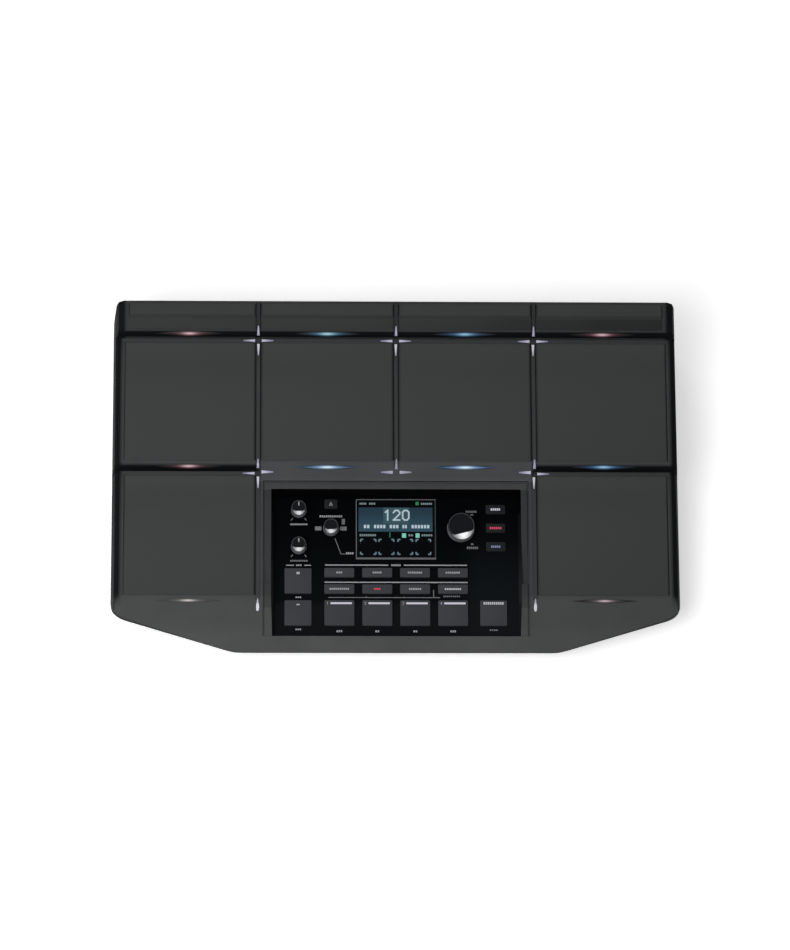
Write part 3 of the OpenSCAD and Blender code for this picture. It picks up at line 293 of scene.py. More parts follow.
def pad_material(name, colour):
    """Moulded rubber with a fine leathery grain and faint blotches, and painted light and shade."""
    n = Nodes(name)
    x, y, _ = n.deck()
    blotches = n.noise(22.0, 4.0)
    cells = n.add("ShaderNodeTexVoronoi", {"Vector": n.place(), "Scale": 1500.0}, feature="F1").outputs[0]
    grain = n.math("ADD", n.times(cells, 0.6), n.times(n.noise(6000.0), 0.4))
    low, high = scaled(colour, 0.97, 0.97, 0.965), scaled(colour, 1.05, 1.04, 1.04)
    tone = n.mix(n.ramp(blotches, 0.32, 0.68), low, high)

    # Square pads are painted paler towards their rear edge: painted light that lifts the shade at the foot of
    # the step behind them
    front_rank = n.times(n.ramp(y, -31.0, -3.5), n.below(y, MIDDLE_RANK_Y))
    rear = n.math("POWER", n.most(n.ramp(y, 70.0, 97.5), front_rank), 2.0)
    tone = n.mix(n.times(rear, n.below(y, ROW_PITCH)), tone, scaled(colour, 1.42))

    # Painted shade: in the grooves beside the ribs, on the bars' step and facet, the facet most at the right,
    # and a little over the whole bars
    bars = n.above(y, 104.0)
    step = n.times(n.ramp(y, 111.8, 113.2), n.fade(y, 114.6, 116.4))
    facet = n.times(bars, n.fade(y, 112.0, 114.5), n.ramp(x, -40.0, 180.0, 0.9, 2.6))
    pad_groove_shade = rib_shade(n, x, y, (0.9, 1.4), (2.2, 4.4))
    shade = n.most(n.times(pad_groove_shade, 0.5), n.times(step, 0.42), n.times(facet, 0.28), n.times(bars, 0.1))
    n.set(
        Base_Color=n.mix(shade, tone, linear(20, 21, 22)),
        Roughness=n.ramp(blotches, 0.25, 0.75, 0.72, 0.82),
        Specular_IOR_Level=0.15,
        Normal=n.bump(grain, 0.00003),
    )
    return n.material


def lens_material(name, middle, flank, core, body, reach):
    """A clear lens lit from its middle, with its light drawn out to an eye shape."""
    n = Nodes(name)
    x, y, _ = n.deck()
    away = n.away(x, middle[0])
    line = n.bell(n.away(y, middle[1]), n.ramp(away, 0.0, 20.0, 0.95, 0.3))
    wide = n.times(n.bell(away, reach), line)
    tight = n.times(n.bell(away, 5.6), line)
    tip = n.mix(n.times(n.ramp(away, 7.0, 17.0), 0.85), body, linear(8, 8, 9))
    n.set(
        Base_Color=n.mix(wide, tip, (0.01, 0.01, 0.01)),
        Roughness=0.35,
        Specular_IOR_Level=0.15,
        Emission_Color=n.mix(wide, (0.0, 0.0, 0.0), n.mix(tight, flank, core)),
        Emission_Strength=1.0,
    )
    return n.material


def cross_material():
    """Milky guides, brightest next to the middle of each cross."""
    n = Nodes("cross_glow")
    x, y, _ = n.deck()
    tip = linear(112, 104, 146)
    arm = 11.5  # length of an arm
    # Distance from the line between two columns, and from the nearest row of crosses, + behind it.
    # Whole pitches are added so that neither number is below 0 when it is folded
    dx = n.math("PINGPONG", n.math("ADD", x, 10 * PITCH), PITCH / 2)
    row = n.math("MODULO", n.math("ADD", y, 3 * ROW_PITCH + CROSS_SETBACK + ROW_PITCH / 2), ROW_PITCH)
    dy = n.math("SUBTRACT", row, ROW_PITCH / 2)
    away = n.math("SQRT", n.math("ADD", n.math("POWER", dx, 2.0), n.math("POWER", n.size(dy), 2.0)))
    upright = n.below(dx, 1.5)
    rear = n.times(upright, n.above(dy, 1.0))
    front = n.times(upright, n.math("SUBTRACT", 1.0, rear))
    behind_controls = n.times(n.below(n.size(x), 50.0), n.below(y, 50.0))  # the dimmest cross
    light = n.mix(n.ramp(away, 3.0, arm), linear(226, 222, 242), tip)
    light = n.mix(n.times(rear, 0.65), light, tip)
    light = n.mix(n.times(front, n.ramp(away, 5.0, arm, 1.0, 0.35)), light, linear(236, 236, 240))
    light = n.mix(n.times(behind_controls, 0.45), light, linear(96, 94, 112))
    n.set(Base_Color=linear(120, 118, 135), Roughness=0.35, Emission_Color=light, Emission_Strength=0.42)
    return n.material


def plain_glow(name, colour):
    """An even light on a dark body."""
    n = Nodes(name)
    n.set(
        Base_Color=(0.02, 0.02, 0.02),
        Roughness=0.4,
        Specular_IOR_Level=0.0,
        Emission_Color=colour,
        Emission_Strength=1.0,
    )
    return n.material


def window_material():
    """A thin clear pane with faint smears."""
    n = Nodes("display_glass")
    n.set(
        Base_Color=linear(8, 10, 12),
        Roughness=n.ramp(n.noise(60.0, 4.0), 0.3, 0.7, 0.16, 0.28),
        Specular_IOR_Level=0.01,
        Alpha=0.05,
    )
    return n.material


def panel_material():
    """Black plate, with painted reflection that makes it a little greyer towards the front, its front edge and
    the right.
    """
    n = Nodes("panel_plastic")
    x, y, _ = n.deck()
    front = n.ramp(y, -24.0, -102.0)
    lit_front_edge = n.ramp(y, -96.0, -101.0, 0.0, 0.5)
    right = n.times(n.ramp(x, 44.0, 62.0), front, 0.5)
    tone = n.mix(front, linear(2, 4, 5), linear(8, 12, 13))
    tone = n.mix(right, tone, linear(24, 27, 29))
    n.set(
        Base_Color=n.mix(lit_front_edge, tone, linear(20, 22, 24)),
        Roughness=n.ramp(n.noise(30.0, 3.0), 0.25, 0.75, 0.38, 0.45),
        Specular_IOR_Level=0.008,
        Normal=n.bump(n.noise(7000.0), 0.00001),
    )
    return n.material


FRAME = frame_material("frame_plastic", 0.12)
FRAME_MATT = frame_material("frame_plastic_matt", 0.015)
PAD = pad_material("pad_rubber", linear(56, 57, 57))
CASE = moulded("case_plastic", linear(29, 30, 31), 0.6, grain=3800.0, depth=0.00004, edge=0.0004, gloss=0.2)
PANEL = panel_material()
WINDOW = window_material()
KEY_GRAIN = {"grain": 7000.0, "depth": 0.000012, "vary": 0.04}
KEY = moulded("key_plastic", linear(53, 55, 58), 0.55, gloss=0.1, **KEY_GRAIN)
SMALL_KEY = moulded("small_key_plastic", linear(21, 23, 25), 0.55, gloss=0.08, **KEY_GRAIN)
KNOB = moulded("knob_plastic", linear(12, 14, 17), 0.42, grain=6000.0, depth=0.00001, edge=0.0003, gloss=0.05)
# Rim of a knob's top, lighter as a painted highlight
RIM_HIGHLIGHT = moulded("knob_rim_highlight", linear(40, 42, 45), 0.4, grain=6000.0, depth=0.00001, gloss=0.15)
# Knob grip: a lighter grey wall with strong mottling, which paints the glints on its flutes
GRIP = moulded(
    "knob_grip", linear(112, 115, 119), 0.38, grain=2600.0, depth=0.00001, vary=0.3, blotch=160.0, gloss=0.4
)
PRINT = moulded("print_white", linear(150, 152, 155), 0.6, vary=0.03)
PRINT_DIM = moulded("print_grey", linear(104, 106, 109), 0.6, vary=0.03)
KEY_PRINT = moulded("key_print", linear(150, 152, 156), 0.6, vary=0.03)
BORDER = moulded("window_border", linear(76, 78, 80), 0.45, vary=0.03)
BORDER_DARK = moulded("window_border_dark", linear(30, 31, 33), 0.45, vary=0.03)
JACK = moulded("socket_plastic", linear(22, 22, 24), 0.45, grain=6000.0, edge=0.0003)
RUBBER = moulded("foot_rubber", linear(26, 26, 27), 0.85, grain=3000.0, depth=0.00004, edge=0.0005)
STEEL = moulded("bare_steel", linear(170, 171, 173), 0.34, grain=900.0, depth=0.00001, metal=1.0)
PLATED = moulded("plated_metal", linear(205, 206, 209), 0.22, grain=1200.0, depth=0.000005, metal=1.0)
BRASS = moulded("brass", linear(206, 170, 98), 0.3, grain=1500.0, metal=1.0)
BOARD = moulded("solder_mask", linear(18, 92, 56), 0.4, grain=2500.0, vary=0.12)
SCREW = moulded("black_steel", linear(60, 60, 62), 0.4, grain=2500.0, metal=1.0)
SHEET = moulded("sensor_sheet", linear(30, 30, 31), 0.7)
LCD_BODY = moulded("display_body", linear(3, 4, 5), 0.5, gloss=0.02)
SEAL = moulded("pad_seal", linear(60, 61, 61), 0.78, vary=0.04, gloss=0.15)
# Dark seals beside the ribs: painted shade in the gaps
SHADE_SEAL = moulded("pad_seal_shade", linear(24, 25, 26), 0.8, vary=0.04, gloss=0.1)
WHITE_LED = plain_glow("key_lamp_white", linear(196, 192, 208))
RED_LED = plain_glow("key_lamp_red", linear(204, 62, 92))
SOFT_LED = plain_glow("key_lamp_soft", linear(176, 176, 180))
BLUE_LED = plain_glow("key_lamp_blue", linear(118, 126, 158))


def paint(names, material):
    for name in names:
        mesh = nodes[name].data
        mesh.materials.clear()
        mesh.materials.append(material)


pads = [name for name in nodes if "_pad_" in name]
keys = [name for name in nodes if "button" in name and name != "power_button"]
paint(["top_frame"], FRAME)
paint(["bottom_case"], CASE)
paint(["control_panel"], PANEL)
paint(["display_window"], WINDOW)
paint(["display_module"], LCD_BODY)
paint(pads, PAD)
paint(keys, KEY)
paint(["side_button_1", "side_button_2", "side_button_3", "click_button"], SMALL_KEY)
paint(["phones_knob", "main_level_knob", "metronome_knob", "value_knob", "power_button"], KNOB)
paint(["phones_shaft", "main_level_shaft", "metronome_shaft", "value_shaft"], STEEL)
paint(["rotary_bodies", "pad_plates"], STEEL)
paint(["sensor_sheets"], SHEET)
paint(["tact_switches", "power_switch_body", "audio_jacks", "midi_sockets", "dc_inlet"], JACK)
paint(["panel_board", "main_board", "jack_board"], BOARD)
paint(["usb_sockets"], PLATED)
paint(["stand_inserts"], BRASS)
paint(["case_screws"], SCREW)
paint(["rubber_feet"], RUBBER)
paint(["cross_light_guides"], cross_material())


def is_matt(at, facing):
    """Noses, rear rank, ends and slopes of the frame. at and facing: deck coordinates of a face."""
    if at.z > 12 or facing.z < 0.6:
        return True
    lies_flat = facing.z >= 0.97
    return not lies_flat and (-1 < at.y < 5 or abs(facing.x) > 0.1 or abs(at.x) < RECESS_X)


frame_mesh = nodes["top_frame"].data
frame_mesh.materials.append(FRAME_MATT)
turn_back = Matrix.Rotation(-TILT, 3, "X")
for face in frame_mesh.polygons:
    if is_matt(TO_DECK @ face.center, turn_back @ face.normal):
        face.material_index = 1

# Lamp colours: flanks and middle
PINK = (linear(112, 44, 62), linear(206, 176, 184))
CYAN = (linear(30, 104, 140), linear(166, 208, 212))
BLUE = (linear(30, 88, 142), linear(140, 186, 212))
ICE = (linear(96, 140, 186), linear(214, 236, 246))
WARM = (linear(70, 68, 66), linear(196, 190, 182))
ROSE = (linear(76, 62, 68), linear(190, 172, 178))
# Tone of an unlit lens, which follows the frame round it, the painted light on the slope included
ON_NOSE, ON_SLOPE, ON_APRON = linear(24, 25, 27), linear(58, 60, 63), linear(46, 47, 48)
# Column, rank from 0 at the front, colours, unlit tone, reach of the light
LAMPS = [
    (-1.5, 2, PINK, ON_NOSE, 9.0),
    (-0.5, 2, CYAN, ON_NOSE, 12.0),
    (0.5, 2, BLUE, ON_NOSE, 12.0),
    (1.5, 2, PINK, ON_NOSE, 9.0),
    (-1.5, 1, PINK, ON_NOSE, 9.0),
    (-0.5, 1, ICE, ON_SLOPE, 17.0),
    (0.5, 1, ICE, ON_SLOPE, 17.0),
    (1.5, 1, BLUE, ON_NOSE, 12.0),
    (-1.5, 0, WARM, ON_APRON, 9.0),
    (1.5, 0, ROSE, ON_APRON, 9.0),
]
lens_mesh = nodes["indicator_lenses"].data
lens_mesh.materials.clear()
middles = [(column * PITCH, (rank - 1) * ROW_PITCH + LENS_SETBACK) for column, rank, *_ in LAMPS]
for middle, (column, rank, (flank, core), body, reach) in zip(middles, LAMPS):
    name = f"lens_{rank}_{int(column * 2 + 3)}"
    lens_mesh.materials.append(lens_material(name, middle, flank, core, body, reach))
for face in lens_mesh.polygons:
    at = (TO_DECK @ face.center).xy
    face.material_index = min(range(len(LAMPS)), key=lambda i: math.dist(at, middles[i]))


def soften(name, width, segments):
    """Rounds the edges of a plain CAD solid. width: metres."""
    o = nodes[name]
    weld = o.modifiers.new("weld", "WELD")
    weld.merge_threshold = 0.000002
    flat = o.modifiers.new("flat", "DECIMATE")
    flat.decimate_type = "DISSOLVE"
    flat.angle_limit = math.radians(1)
    bevel = o.modifiers.new("bevel", "BEVEL")
    bevel.width = width
    bevel.segments = segments
    bevel.limit_method = "ANGLE"
    bevel.angle_limit = math.radians(40)
    bevel.harden_normals = True
    for face in o.data.polygons:
        face.use_smooth = True


for name in pads:
    soften(name, 0.0003, 2)
for name in keys:
    soften(name, 0.00035, 3)

# Pieces made here. Lengths are in deck millimetres, and index is a place in the piece's list of materials
INK = 0.04  # thickness of a printed mark
BLOCK_START, BLOCK_END = 0.1, 0.82  # of a printed block, as shares of the step from block to block
SHARP_EDGE = math.radians(32)


def finish_piece(name, bm, materials, body, smooth=False):
    mesh = bpy.data.meshes.new(name)
    bmesh.ops.recalc_face_normals(bm, faces=bm.faces)
    bm.to_mesh(mesh)
    bm.free()
    for material in materials:
        mesh.materials.append(material)
    piece = bpy.data.objects.new(name, mesh)
    bpy.context.scene.collection.objects.link(piece)
    if smooth:
        for face in mesh.polygons:
            face.use_smooth = True
        mesh.set_sharp_from_angle(angle=SHARP_EDGE)
    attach(piece, body)
    return piece


def solid(bm, low, high, index):
    """Closes two loops of vertices into a solid."""
    faces = [bm.faces.new(high), bm.faces.new(low[::-1])]
    faces += [bm.faces.new((low[i - 1], low[i], high[i], high[i - 1])) for i in range(len(low))]
    for face in faces:
        face.material_index = index


def prism(bm, outline, z0, z1, index=0):
    """A flat solid over an outline."""
    low, high = ([bm.verts.new(DECK @ Vector((x, y, z))) for x, y in outline] for z in (z0, z1))
    solid(bm, low, high, index)


def bar(bm, x0, x1, y0, y1, z, index=0, thick=INK):
    prism(bm, [(x0, y0), (x1, y0), (x1, y1), (x0, y1)], z, z + thick, index)


def stroke(bm, points, width, z, index=0):
    """A line of even width through points, with square ends."""
    for (xa, ya), (xb, yb) in zip(points, points[1:]):
        length = math.hypot(xb - xa, yb - ya)
        ux, uy = (xb - xa) / length * width / 2, (yb - ya) / length * width / 2
        ax, ay, bx, by = xa - ux, ya - uy, xb + ux, yb + uy
        outline = [(ax + uy, ay - ux), (bx + uy, by - ux), (bx - uy, by + ux), (ax - uy, ay + ux)]
        prism(bm, outline, z, z + INK, index)


def dashes(bm, x, y, width, z, height=1.0, index=0, pitch=1.5):
    """A row of small blocks, centred on x and y, where the object has a word."""
    count = max(1, round(width / pitch))
    step = width / count
    for i in range(count):
        left = x - width / 2 + i * step
        x0, x1 = left + step * BLOCK_START, left + step * BLOCK_END
        bar(bm, x0, x1, y - height / 2, y + height / 2, z, index)


# Strokes of plain numbers, in widths of a digit
DIGITS = {
    "0": [(0.3, 0), (0.7, 0), (1, 0.3), (1, 1.3), (0.7, 1.6), (0.3, 1.6), (0, 1.3), (0, 0.3), (0.3, 0)],
    "1": [(0.2, 1.3), (0.55, 1.6), (0.55, 0)],
    "2": [(0, 1.25), (0.3, 1.6), (0.75, 1.6), (1, 1.3), (1, 1), (0, 0), (1, 0)],
    "3": [(0, 1.6), (1, 1.6), (0.45, 0.95), (0.8, 0.9), (1, 0.6), (1, 0.3), (0.7, 0), (0.25, 0), (0, 0.25)],
    "4": [(0.75, 0), (0.75, 1.6), (0, 0.5), (1, 0.5)],
}
DIGIT_HEIGHT, DIGIT_SPACE = 1.6, 0.5


def digits(bm, text, x, y, size, width, z):
    """Plain numbers, centred on x and y. size: a digit's width. width: a line's."""
    total = (len(text) + (len(text) - 1) * DIGIT_SPACE) * size
    for i, character in enumerate(text):
        left = x - total / 2 + i * (1 + DIGIT_SPACE) * size
        points = [(left + px * size, y + (py - DIGIT_HEIGHT / 2) * size) for px, py in DIGITS[character]]
        stroke(bm, points, width, z)


# Printed lines and marks on the panel, with y measured from the middle of the display
WHITE, GREY = 0, 1
PANEL_LINES = [  # x and y from and to, material
    (-53.1, -5.8, -28.1, -27.3, WHITE),
    (5.8, 53.1, -28.1, -27.3, WHITE),
    (-53.5, 53.5, -41.3, -40.5, WHITE),
    (-50.7, 32.8, -52.9, -52.35, GREY),
    (27.7, 28.3, -52.6, -46.6, GREY),
    (-22.6, -22.1, -52.6, -51.6, GREY),
    (5.6, 6.1, -52.6, -51.6, GREY),
    (-82.3, -76.3, -28.3, -27.6, WHITE),
    (-68.8, -63.6, -28.3, -27.6, WHITE),
    (-60.6, -55.8, -1.0, 2.0, GREY),
    (-41.7, -36.9, -1.0, 2.0, GREY),
    (-40.6, -38.2, 3.6, 8.0, GREY),
    (56.0, 58.2, 10.6, 12.0, GREY),
    (56.2, 58.2, -12.0, -10.8, GREY),
]
PANEL_WORDS = [  # middle, width, height, material
    (0, -27.7, 7.4, 1.3, WHITE),
    (41.5, -51.6, 13, 1.0, GREY),
    (-72.6, -27.9, 4.4, 1.3, WHITE),
    (-73, -52.5, 4.6, 1.1, WHITE),
    (-73, -77.1, 4.6, 1.1, WHITE),
    (-42.4, -78.4, 4.6, 1.5, WHITE),
    (-14.15, -78.4, 3.2, 1.5, WHITE),
    (14.15, -78.4, 3.2, 1.5, WHITE),
    (42.4, -78.4, 4.6, 1.5, WHITE),
    (RIGHT_KEY_X, -77.4, 6.5, 1.1, GREY),
    (-72.6, LEVEL_RISE - 10.4, 13.2, 1.2, WHITE),
    (-72.6, -LEVEL_RISE - 10.4, 13.2, 1.2, GREY),
    (-INNER_KNOB_X, 9.9, 17.2, 1.5, WHITE),
    (-34.6, -18.6, 6.0, 1.5, WHITE),
    (56.6, 13.7, 8.6, 1.6, GREY),
    (57.4, -14.2, 8.8, 1.8, GREY),
]
ON_PANEL = PANEL_Z + 0.005
bm = bmesh.new()
for x0, x1, v0, v1, index in PANEL_LINES:
    bar(bm, x0, x1, DISPLAY_Y + v0, DISPLAY_Y + v1, ON_PANEL, index)
for x, v, width, height, index in PANEL_WORDS:
    dashes(bm, x, DISPLAY_Y + v, width, ON_PANEL, height, index)
# Ticks at the ends of the level knobs' turn, and the line that leads on from the metronome knob
for y in (DISPLAY_Y + LEVEL_RISE, DISPLAY_Y - LEVEL_RISE):
    for side in (-1, 1):
        stroke(bm, [(LEVEL_X + side * 4.6, y - 5.9), (LEVEL_X + side * 5.6, y - 7.2)], 0.6, ON_PANEL, GREY)
lead = [(-45.6, DISPLAY_Y - 7.4), (-41.2, DISPLAY_Y - 19.2), (-38.4, DISPLAY_Y - 19.2)]
stroke(bm, lead, 0.55, ON_PANEL, GREY)
finish_piece("panel_print", bm, [PRINT, PRINT_DIM], "body")


def teal_material():
    """The display's band, lighter towards its front."""
    n = Nodes("display_band")
    y = n.deck()[1]
    front = n.fade(y, DISPLAY_Y - 2, DISPLAY_Y + 17)
    n.set(
        Base_Color=(0.005, 0.005, 0.006),
        Roughness=0.3,
        Specular_IOR_Level=0.0,
        Emission_Color=n.mix(front, linear(33, 54, 66), linear(48, 74, 88)),
        Emission_Strength=1.0,
    )
    return n.material


# Display picture, under its window. u and v: millimetres from the middle of the window
LIT, TEAL, GREEN, AQUA, DIM, CORNER, UNLIT, HALO = range(8)
DISPLAY_MATERIALS = [
    plain_glow("display_white", linear(176, 194, 204)),
    teal_material(),
    plain_glow("display_green", linear(20, 120, 72)),
    plain_glow("display_aqua", linear(120, 196, 178)),
    plain_glow("display_dim", linear(118, 132, 136)),
    plain_glow("display_corner", linear(96, 128, 138)),
    LCD_BODY,
    plain_glow("display_halo", linear(49, 76, 86)),
]
WINDOW_THICKNESS = 1.2
PICTURE_Z = PANEL_Z - WINDOW_THICKNESS + 0.02
LAYER = 0.04
WORD_LAYER = PICTURE_Z + 0.05
bm = bmesh.new()


def patch(u0, u1, v0, v1, index, level=0.0):
    bar(bm, u0, u1, DISPLAY_Y + v0, DISPLAY_Y + v1, PICTURE_Z + LAYER * level, index, 0.03)


patch(-29.8, 29.8, -23.1, 23.1, UNLIT, -0.8)
patch(-27.9, 27.6, -1.5, 17.2, TEAL)
patch(-9.4, 10.0, 4.6, 17.0, HALO, 0.4)
patch(-28.4, 28.0, 17.4, 22.6, UNLIT)
digits(bm, "120", 0.6, DISPLAY_Y + 11.2, 4.6, 1.15, WORD_LAYER)
for u0, u1 in ((-24.2, -19.4), (-16.6, -7.4), (-4.8, 2.4), (4.8, 8.6), (11.6, 25.6)):
    dashes(bm, (u0 + u1) / 2, DISPLAY_Y + 2.4, u1 - u0, WORD_LAYER, 2.6, LIT, 2.2)
for u, v, width, height, pitch in (
    (-24.6, 20.1, 5.4, 1.5, 1.5),
    (-17.6, 20.1, 5.0, 1.5, 1.5),
    (23.2, 20.1, 8.6, 1.5, 1.5),
    (-21.0, -4.3, 12.6, 1.6, 1.6),
    (11.2, -4.3, 3.8, 1.5, 1.9),
    (23.4, -4.3, 8.4, 1.5, 1.6),
):
    dashes(bm, u, DISPLAY_Y + v, width, WORD_LAYER, height, DIM, pitch)
patch(14.9, 17.4, 19.0, 21.6, GREEN, 1)
patch(4.6, 7.7, -6.2, -2.8, AQUA, 1)
patch(14.8, 17.8, -6.2, -2.8, AQUA, 1)
patch(-4.8, -4.1, -6.2, -2.2, GREEN, 1)
# Corner marks round the four fields at the foot
ARM, HALF_LINE = 1.8, 0.5
for left, right in ((-26.4, -15.0), (-12.6, -1.6), (1.6, 12.4), (15.2, 26.0)):
    for u, inner_u in ((left, left + ARM), (right, right - ARM)):
        for v, inner_v in ((-7.6, -7.6 - ARM), (-19.0, -19.0 + ARM)):
            patch(min(u, inner_u), max(u, inner_u), v - HALF_LINE, v + HALF_LINE, CORNER, 1)
            patch(u - HALF_LINE, u + HALF_LINE, min(v, inner_v), max(v, inner_v), CORNER, 1)
finish_piece("display_picture", bm, DISPLAY_MATERIALS, "body")

# Border printed round the edge of the window, darker at the right
bm = bmesh.new()
w, h = 30.0, 23.3  # half of the border's width and depth
line = 0.75
foot = 2 * line
for x0, x1, v0, v1, index in (
    (-w, w, h - line, h, 0),
    (-w, w, -h, -h + foot, 0),
    (-w, -w + line, -h + foot, h - line, 0),
    (w - line, w, -h + foot, h - line, 1),
):
    bar(bm, x0, x1, DISPLAY_Y + v0, DISPLAY_Y + v1, ON_PANEL, index, 0.05)
finish_piece("window_border", bm, [BORDER, BORDER_DARK], "body")

# Marks on the keys, each on its own key
KEY_TOP = PANEL_Z + 1.4
ON_KEY = KEY_TOP + 0.003


def key_mark(name, body, draw, material):
    bm = bmesh.new()
    draw(bm)
    finish_piece(name, bm, [material], body)


def word(x, v, width, height=1.4, pitch=1.5):
    return lambda bm: dashes(bm, x, DISPLAY_Y + v, width, ON_KEY, height, 0, pitch)


UPPER_WIDTHS = (4.6, 7.0, 11.0, 11.0)
LOWER_MARKS = ((15.0, KEY_PRINT), (5.2, RED_LED), (9.6, KEY_PRINT), (12.6, SOFT_LED))
for i, (x, width) in enumerate(zip(KEY_COLUMNS, UPPER_WIDTHS), 1):
    key_mark(f"upper_key_mark_{i}", f"upper_row_button_{i}", word(x, -33.7, width), KEY_PRINT)
for i, (x, (width, material)) in enumerate(zip(KEY_COLUMNS, LOWER_MARKS), 1):
    key_mark(f"lower_key_mark_{i}", f"lower_row_button_{i}", word(x, -46.3, width), material)
for i, x in enumerate(KEY_COLUMNS, 1):
    key_mark(
        f"track_lamp_{i}", f"track_button_{i}",
        lambda bm: bar(bm, x - 6.6, x + 9.3, DISPLAY_Y - 58.0, DISPLAY_Y - 56.6, ON_KEY),
        WHITE_LED,
    )
    key_mark(
        f"track_number_{i}", f"track_button_{i}",
        lambda bm: digits(bm, str(i), x - 8.9, DISPLAY_Y - 57.3, 1.1, 0.3, ON_KEY),
        KEY_PRINT,
    )
SIDE_MARKS = ((15.2, 7.4, WHITE_LED), (0.8, 9.2, RED_LED), (-13.6, 7.2, BLUE_LED))
for i, (v, width, material) in enumerate(SIDE_MARKS, 1):
    key_mark(f"side_key_mark_{i}", f"side_button_{i}", word(SIDE_KEY_X, v, width, 1.7), material)
for i, (v, height) in enumerate(((-34.2, 1.8), (-58.4, 1.0)), 1):
    key_mark(f"left_key_mark_{i}", f"left_square_button_{i}", word(-73.2, v, 2.6, height, 1.3), SOFT_LED)
key_mark("right_key_mark", "right_square_button", word(RIGHT_KEY_X, -57.2, 15.4, 1.9), SOFT_LED)
TRIANGLE = [(u - INNER_KNOB_X, DISPLAY_Y + v) for u, v in ((-1, 18.2), (0, 20.4), (1, 18.2), (-1, 18.2))]
key_mark("click_key_mark", "click_button", lambda bm: stroke(bm, TRIANGLE, 0.5, ON_KEY), KEY_PRINT)

# Knobs: fluted bodies with painted glints on the flutes, a raised rim that is lighter as a painted highlight,
# and a facet cut across the front of the top, bright with a painted highlight
KNOB_HEIGHT = 12.0  # from the panel to the top
KNOB_GAP = 0.9  # under the knob
BORE_DEPTH = 9.5


def facet_material(name, at, turn, radius):
    """Satin metal with a painted highlight, brightest in the middle of the facet."""
    n = Nodes(name + "_facet")
    x, y, _ = n.deck()
    dx, dy = n.math("SUBTRACT", x, at[0]), n.math("SUBTRACT", y, at[1])
    along = n.math("ADD", n.times(dx, math.cos(turn)), n.times(dy, math.sin(turn)))
    streaks = n.noise(420.0, 3.0, stretch=(1, 8, 1))
    painted_highlight = n.mix(n.ramp(streaks, 0.3, 0.7), linear(206, 207, 209), linear(228, 229, 231))
    n.set(
        Base_Color=n.mix(n.bell(along, radius * 0.5), linear(58, 60, 63), painted_highlight),
        Roughness=0.36,
        Metallic=0.6,
        Normal=n.bump(streaks, 0.00001, 0.4),
    )
    return n.material


def knob(name, body, node, at, radius, bore, turn, start, drop, flutes, pointer=False):
    """The look of a knob, in place of its CAD solid.

    turn: of the facet, in degrees from the front. start: where the facet begins, as a share of the
    radius. drop: how far the facet falls from there to the edge.
    """
    base = PANEL_Z + KNOB_GAP
    top = PANEL_Z + KNOB_HEIGHT
    inner = radius - 0.9
    dish = top - 0.42  # the sunk middle of the top
    rings = [  # radius, z, depth of the flutes
        (bore, base, 0),
        (radius - 0.15, base, 0),
        (radius, base + 0.15, 0),
        (radius, base + 1.4, 0),
        (radius - 0.18, base + 1.6, 0),
        (radius - 0.32, base + 1.75, 0),
        (radius - 0.34, base + 2.3, 0.16),
        (radius - 0.62, top - 1.4, 0.16),
        (radius - 0.66, top - 0.9, 0),
        (radius - 0.8, top - 0.3, 0),
        (radius - 1.1, top, 0),
        (inner - 0.75, top, 0),
        (inner - 1.0, top - 0.15, 0),
        (inner - 1.15, top - 0.35, 0),
        ((inner - 1.15) * 0.5, dish, 0),
    ]
    count = flutes * 6
    bm = bmesh.new()
    loops = []
    for r, z, flute in rings:
        loop = []
        for k in range(count):
            angle = 2 * math.pi * k / count
            rr = r - flute * (1 - math.cos(flutes * angle))
            loop.append(bm.verts.new((rr * math.cos(angle), rr * math.sin(angle), z)))
        loops.append(loop)
    middle = bm.verts.new((0, 0, dish))
    bore_top = [bm.verts.new((v.co.x, v.co.y, base + BORE_DEPTH)) for v in loops[0]]
    loops.insert(0, bore_top)
    for a, b in zip(loops, loops[1:]):
        for k in range(count):
            bm.faces.new((a[k - 1], a[k], b[k], b[k - 1]))
    for k in range(count):
        bm.faces.new((loops[-1][k - 1], loops[-1][k], middle))
    bm.faces.new(bore_top)
    facet_index, pointer_index, grip_index, rim_highlight_index = 1, 2, 3, 4
    for face in bm.faces:
        low_z, high_z = min(v.co.z for v in face.verts), max(v.co.z for v in face.verts)
        away = face.calc_center_median().xy.length
        if low_z > base + 1.7 and high_z < top - 0.8 and away > radius * 0.8:
            face.material_index = grip_index
        elif low_z > top - 1.0 and away > inner - 0.8:
            face.material_index = rim_highlight_index

    # The facet's plane, and the part of the body beyond it cut away
    turn = math.radians(turn)
    out = Vector((math.sin(turn), -math.cos(turn), 0))
    slope = math.atan2(drop, radius * (1 - start))
    normal = out * math.sin(slope) + Vector((0, 0, math.cos(slope)))
    point = out * (start * radius) + Vector((0, 0, top))
    geometry = bm.verts[:] + bm.edges[:] + bm.faces[:]
    cut = bmesh.ops.bisect_plane(
        bm, geom=geometry, dist=1e-5, plane_co=point, plane_no=normal, clear_outer=True
    )
    edges = [e for e in cut["geom_cut"] if isinstance(e, bmesh.types.BMEdge)]
    for face in bmesh.ops.triangle_fill(bm, edges=edges, use_beauty=True)["geom"]:
        if isinstance(face, bmesh.types.BMFace):
            face.material_index = facet_index

    if pointer:
        half, near, far = 0.42, radius * 0.2, radius - 1.9
        corners = ((-half, near), (half, near), (half, far), (-half, far))
        face = bm.faces.new([bm.verts.new((x, y, dish + 0.1)) for x, y in corners])
        face.material_index = pointer_index
    bmesh.ops.transform(bm, matrix=DECK @ Matrix.Translation((*at, 0)), verts=bm.verts)
    materials = [KNOB, facet_material(name, at, turn, radius), PRINT, GRIP, RIM_HIGHLIGHT]
    piece = finish_piece(name, bm, materials, body, smooth=True)
    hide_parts(node)


